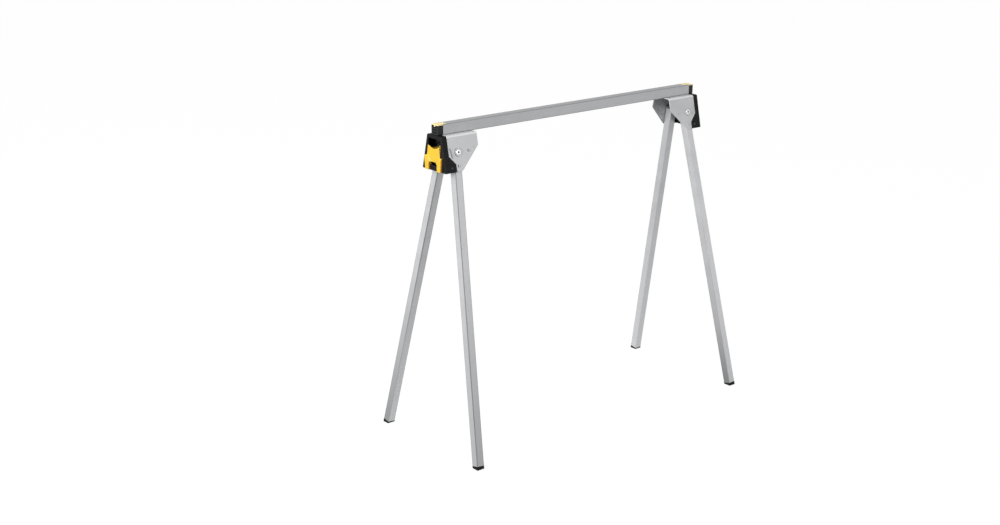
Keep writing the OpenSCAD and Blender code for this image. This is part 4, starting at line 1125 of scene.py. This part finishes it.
@dataclass
class Latch:
    """A yellow release latch with its spring."""

    grip_back: float = 41.9
    grip_front: float = 44.1
    wing_front: float = 47.05
    prong_front: float = 46.65
    hollow: float = 1.5
    wall_shade_share: float = 0.75
    ear_half: float = 20.8
    ear_rise: float = 14.0
    ear_width: float = 2.6
    top_edge: float = 8.0
    body_foot: float = 24.1
    wing_half: float = 31.0
    wing_top: float = -10.0
    prong_half: float = 28.5
    prong_foot: float = -43.0
    arch_half: float = 15.5
    arch_top: float = -23.4
    arch_corner: float = 5.0
    slide_back: float = 35.5
    slide_front: float = 38.1
    slide_half: float = 24.8
    slide_low: float = -18.0
    slide_high: float = 6.0
    core_half: float = 22.2
    core_low: float = -22.0
    core_leg: float = 6.0
    core_leg_low: float = -31.6
    tongue_end: float = 14.95
    tongue_span: tuple[float, float] = (15.0, 21.0)
    web_span: tuple[float, float] = (7.0, 8.2)
    web_low: float = -14.0
    shelf_half: float = 5.5
    post_radius: float = 2.6
    post_height: float = 7.0
    spring_x: float = 23.8
    spring_radius: float = 4.0
    spring_wire: float = 1.0
    spring_turns: float = 7.0
    spring_steps: int = 24
    spring_even: float = 0.65
    spring_low: float = 6.0
    spring_high: float = 37.0
    travel: float = 15.0
    hollow_flat: float = 8.0
    shoulder: float = 4.0
    cheek_inset: float = 1.5
    cheek_widening: float = 7.0
    cheek_span: tuple[float, float] = (6.0, 13.0)
    cheek_slope: float = 6.5
    slices_across: tuple[float, ...] = (1.5, 4.5, 7.5, 9.5, 11.5, 13.5, 15.5, 17.5, 19.0, 21.5, 22.6, 23.6,
                                        24.6, 25.4, 27.5)
    slices_up: tuple[float, ...] = (11.0, 8.0, 5.0, 2.0, -1.0, -4.0, -7.0, -9.0, -11.0, -13.0, -15.5, -18.0,
                                    -20.5, -23.0, -26.0, -29.0, -32.0, -35.0, -38.0, -41.0)

    def half_outline(self) -> Outline:
        """Right half of the grip's end view, from the middle of its hollow top edge to the arch."""
        inner = self.ear_half - self.ear_width
        dip = self.ear_rise - self.top_edge
        radius = (inner * inner + dip * dip) / (2 * dip)
        sweep = math.degrees(math.asin(inner / radius))
        top = arc((0.0, self.top_edge + radius), radius, -90.0, -90.0 + sweep, 12)
        ear = [(inner + 0.4, self.ear_rise - 0.1), (self.ear_half - 0.5, self.ear_rise),
               (self.ear_half, self.ear_rise - 0.8)]
        wing = [(self.body_foot, self.wing_top), (self.wing_half - 1.2, self.wing_top),
                (self.wing_half - 0.3, self.wing_top - 0.4), (self.wing_half - 0.1, self.wing_top - 1.4)]
        foot = self.prong_foot
        prong = [(self.prong_half + 0.1, foot + 1.4), (self.prong_half - 0.3, foot + 0.4),
                 (self.prong_half - 1.2, foot), (self.arch_half + 0.5, foot), (self.arch_half, foot + 0.5)]
        bend = self.arch_corner
        return top + ear + wing + prong + arc((self.arch_half - bend, self.arch_top - bend), bend, 0.0, 90.0, 8)

    def front_at(self, y: float, z: float) -> float:
        """X of the grip's front: a hollow body, with wings and prongs that stand further out.

        Args:
            y: Distance from the middle of the latch.
            z: Height above the pivots.

        Returns:
            The X of the moulded surface at this place.
        """
        drop = self.wing_top - z
        stretch = min(max(-drop, 0.0), self.ear_rise - self.wing_top) / (self.ear_rise - self.wing_top)
        rim = self.body_foot + (self.ear_half - self.body_foot) * stretch - self.ear_width
        hollow = self.hollow * (1.0 - smooth_step(abs(y), self.hollow_flat, rim))
        taper = smooth_step(drop, self.shoulder, self.wing_top - self.prong_foot)
        outer = self.wing_front + (self.prong_front - self.wing_front) * taper
        near = self.arch_half - self.cheek_inset - self.cheek_widening * smooth_step(drop, *self.cheek_span)
        share = smooth_step(drop, -self.shoulder, self.shoulder) * smooth_step(abs(y), near, near + self.cheek_slope)
        return self.grip_front + (outer - self.grip_front) * share - hollow * (1.0 - share)

    def build_grip(self) -> Piece:
        """Models the grip as a prism, sliced and then pulled to its moulded front surface."""
        right = self.half_outline()
        outline = right + [(-y, z) for y, z in reversed(right[1:])]
        grip = add_prism("grip", outline, self.grip_back, self.grip_front)
        soften(grip, 0.55, 3, 48.0)
        slice_mesh(grip, 1, [sign * y for y in self.slices_across for sign in (-1, 1)])
        slice_mesh(grip, 2, self.slices_up)
        thickness = self.grip_front - self.grip_back
        for vertex in grip.data.vertices:
            share = (vertex.co.x - self.grip_back) / thickness
            pulled = self.front_at(vertex.co.y, vertex.co.z) - self.grip_front
            vertex.co.x += pulled * smooth_step(share, 0.3, 0.7)
        return grip

    def build_slide(self) -> Piece:
        """Models the part behind the end face: core, slide plate, lock tongues, shelf and spring post."""
        half, high, back = self.core_half, self.slide_high, self.slide_back + 0.5
        core_back, core_front = self.slide_front - 0.5, self.grip_back + 0.5
        slide = add_box("slide", (self.slide_back, -self.slide_half, self.slide_low),
                        (self.slide_front, self.slide_half, high))
        blocks = [add_box("core", (core_back, -half, self.core_low), (core_front, half, self.top_edge - 1.2))]
        for low in (half - self.core_leg, -half):
            blocks.append(add_box("core_leg", (core_back, low, self.core_leg_low),
                                  (core_front, low + self.core_leg, self.core_low + OVERREACH)))
        shelf = self.shelf_half
        blocks += [add_box("shelf", (self.spring_x - shelf, -shelf, 3.0), (back, shelf, high - 0.05)),
                   add_rod("post", (self.spring_x, 0.0, high - OVERREACH), self.post_radius, self.post_height)]
        for sign in (-1, 1):
            low, far = sorted(sign * y for y in self.tongue_span)
            blocks.append(add_box("tongue", (self.tongue_end, low, 1.0), (back, far, high - 0.1)))
            near, off = (sign * y for y in self.web_span)
            web = [(near, 3.0), (off, 3.0), (off, self.web_low), (near, self.web_low)]
            blocks.append(add_prism("web", web, self.slide_back - 2.2, self.slide_back + 0.4))
        for block in blocks:
            combine(slide, block, "UNION")
        soften(slide, 0.3)
        return slide

    def build_spring(self, end: End, finishes: Finishes) -> None:
        """Builds the coil spring above the latch, with closed end turns."""
        wire = self.spring_wire / 2
        coil = self.spring_radius - wire
        low, high = self.spring_low + wire, self.spring_high - wire
        clear_selection()
        bpy.ops.curve.primitive_nurbs_path_add()
        path = bpy.context.object
        path.name = label("latch_coil", end)
        path.data.splines.clear()
        line = path.data.splines.new("POLY")
        steps = int(self.spring_turns * self.spring_steps)
        line.points.add(steps)
        for i in range(steps + 1):
            share = i / steps
            angle = math.tau * self.spring_turns * share
            rise = smooth_step(share, 0.02, 0.98) * (1.0 - self.spring_even) + share * self.spring_even
            line.points[i].co = (self.spring_x + coil * math.cos(angle), coil * math.sin(angle),
                                 low + (high - low) * rise, 1.0)
        path.data.dimensions = "3D"
        path.data.bevel_depth = wire
        path.data.bevel_resolution = 3
        path.data.use_fill_caps = True
        activate(path)
        bpy.ops.object.convert(target="MESH")
        spring = bpy.context.object
        spring.data.transform(spring.matrix_world)
        spring.matrix_world = Matrix.Identity(4)
        place(spring, LAYOUT.at_end(end))
        dress(spring, finishes.spring, "root", label("latch_spring", end))
        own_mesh(spring)

    def build(self, finishes: Finishes) -> None:
        """Builds both latches and their springs."""
        for end in End:
            grip = self.build_grip()
            # Marks the grip's side walls for painted shade.
            mark_faces(grip, "wall", lambda centre, normal: smooth_step(abs(normal.y), 0.5, 0.9) * self.wall_shade_share)
            latch = place(join(label("latch_moulding", end), [grip, self.build_slide()]), LAYOUT.at_end(end))
            dress(latch, finishes.yellow, label("latch", end, "body"), label("latch", end))
            self.build_spring(end, finishes)


@dataclass
class Leg:
    """A square leg with its bush, washer, button and foot."""

    bore: float = 4.05
    bush_radius: float = 5.65
    washer_radius: float = 7.6
    washer_top: float = -1.2
    button_radius: float = 3.0
    button_height: float = 0.6
    button_stem: float = 2.0
    foot_edge: float = 0.6

    def ring(self, name: str, radius: float, low: float, high: float, edge: float) -> Piece:
        """Models a plain ring round the pivot rivet, between two depths below the plate's outer face."""
        ring = add_turned(name, [(self.bore, low), (radius, low), (radius, high), (self.bore, high)])
        soften(ring, edge)
        return ring

    def build_turned(self, end: End, side: Side, finishes: Finishes) -> None:
        """Builds the turned pieces of one leg: bush, washer and detent button."""
        body = label("leg", end, side)
        upright = LAYOUT.on_plate(end, side) @ TURNED
        outer = -LAYOUT.leg_depth
        bush = self.ring(label("bush_sleeve", end, side), self.bush_radius, outer - LAYOUT.leg_size, outer, 0.25)
        dress(place(bush, upright), finishes.fastener, body, label("leg_bush", end, side))
        washer = self.ring(label("washer_ring", end, side), self.washer_radius, outer, self.washer_top, 0.3)
        dress(place(washer, upright), finishes.washer, body, label("pivot_washer", end, side))
        radius, height, stem = self.button_radius, self.button_height, self.button_stem
        dome = [(radius * across, height * up) for across, up in
                ((1.0, 0.0), (1.0, 0.35), (0.93, 0.62), (0.75, 0.86), (0.45, 0.97), (0.0, 1.0))]
        button = add_turned(label("button_dome", end, side), [(0.0, -2.2), (stem, -2.2), (stem, 0.0), *dome], 40)
        spot = Matrix.Translation((0.0, LAYOUT.leg_size / 2, -LAYOUT.detent_reach))
        place(button, LAYOUT.in_leg(end, side) @ spot @ TURNED)
        dress(button, finishes.button, body, label("detent_button", end, side))

    def build(self, finishes: Finishes) -> None:
        """Builds the four legs."""
        for end, side in CORNERS:
            body = label("leg", end, side)
            tube = copy_node(label("leg_tube", end, side), label("leg_shell", end, side))
            dress(tube, finishes.legs[end, side], body, label("leg_tube", end, side))
            foot = copy_node(label("leg_foot", end, side), label("foot_moulding", end, side))
            soften(foot, self.foot_edge * MM, 3)
            dress(foot, finishes.foot, body, label("leg_foot", end, side))
            self.build_turned(end, side, finishes)


# Floor, light and camera


@dataclass(frozen=True)
class Softbox:
    """A square soft lamp that looks at a point."""

    name: str
    place: Triple
    size: float
    power: float
    target: Triple = (0.0, 0.0, 0.5)

    def build(self) -> None:
        """Adds the lamp."""
        clear_selection()
        bpy.ops.object.light_add(type="AREA", location=self.place)
        lamp = bpy.context.object
        lamp.name = self.name
        lamp.data.size = self.size
        lamp.data.energy = self.power
        aim = Vector(self.target) - Vector(self.place)
        lamp.rotation_euler = aim.to_track_quat("-Z", "Y").to_euler()


@dataclass
class Studio:
    """The pale floor, white surroundings, soft lamps and the camera."""

    floor_size: float = 60.0
    floor_shadow_share: float = 0.3
    floor_glow: float = 1.36
    floor_colour: Triple = (0.28, 0.28, 0.28)
    ambient: float = 0.42
    lamps: list[Softbox] = field(default_factory=lambda: [
        Softbox("key", (-3.9, -0.7, 1.9), 2.0, 158.0),
        Softbox("fill", (0.9, -3.2, 1.5), 2.0, 19.0),
        Softbox("kicker", (1.2, -1.3, 0.3), 0.5, 1.6, (0.4, 0.0, 0.2))])
    camera_place: Triple = (-2.4839, -2.7507, 1.5147)
    yaw: float = 39.48
    pitch: float = -17.13
    roll: float = 0.36
    focal_pixels: float = 1551.48
    image_width: float = 1000.0
    sensor: float = 36.0

    def build_floor(self) -> None:
        """Builds the floor, which looks white to the camera and keeps a soft shadow."""
        clear_selection()
        bpy.ops.mesh.primitive_plane_add(size=self.floor_size)
        floor = fresh("floor")
        graph = MaterialGraph("pale floor")
        mottle = graph.span(graph.noise(3.0, 3.0), 0.3, 0.7, 0.97, 1.0)
        tint = graph.blend(mottle, rgba(self.floor_colour, 0.97), rgba(self.floor_colour))
        matt = graph.add("BsdfDiffuse", {"Color": tint}).outputs[0]
        white = graph.add("Emission", {"Strength": self.floor_glow}).outputs[0]
        share = graph.times(graph.seen(), 1.0 - self.floor_shadow_share)
        floor.data.materials.append(graph.close(graph.add("MixShader", {0: share, 1: matt, 2: white})))

    def build_world(self) -> None:
        """Builds even surroundings that the camera and reflections see as white."""
        world = bpy.data.worlds.new("studio")
        world.use_nodes = True
        bpy.context.scene.world = world
        graph = Graph(world.node_tree)
        level = graph.span(graph.seen(), 0.0, 1.0, self.ambient, 1.0)
        background = graph.add("Background", {"Color": rgba((1.0, 1.0, 1.0)), "Strength": level})
        graph.add("OutputWorld", {"Surface": background.outputs[0]})

    def build_camera(self) -> None:
        """Places the camera at the photograph's viewing angle."""
        yaw, pitch, roll = (math.radians(angle) for angle in (self.yaw, self.pitch, self.roll))
        ahead = Vector((math.cos(pitch) * math.sin(yaw), math.cos(pitch) * math.cos(yaw), math.sin(pitch)))
        level = ahead.cross(Vector((0.0, 0.0, 1.0))).normalized()
        upright = level.cross(ahead)
        across = level * math.cos(roll) + upright * math.sin(roll)
        up = upright * math.cos(roll) - level * math.sin(roll)
        clear_selection()
        bpy.ops.object.camera_add()
        camera = bpy.context.object
        camera.name = "camera"
        turn = Matrix((across, up, -ahead)).transposed().to_4x4()
        camera.matrix_world = Matrix.Translation(self.camera_place) @ turn
        camera.data.sensor_fit = "HORIZONTAL"
        camera.data.sensor_width = self.sensor
        camera.data.lens = self.focal_pixels * self.sensor / self.image_width
        camera.data.clip_end = 100.0
        bpy.context.scene.camera = camera

    def build(self) -> None:
        """Builds the whole studio."""
        self.build_camera()
        self.build_floor()
        self.build_world()
        for lamp in self.lamps:
            lamp.build()
        bpy.context.scene.view_settings.view_transform = "Standard"


def main() -> None:
    """Builds the studio and every sub-assembly."""
    logging.basicConfig(level=logging.INFO, format="%(name)s: %(message)s")
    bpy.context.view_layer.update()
    Studio().build()
    finishes = Finishes()
    for assembly in (Beam(), Bracket(), Housing(), Latch(), Leg()):
        assembly.build(finishes)
        log.info("%s is done", type(assembly).__name__)


if __name__ == "__main__":
    main()
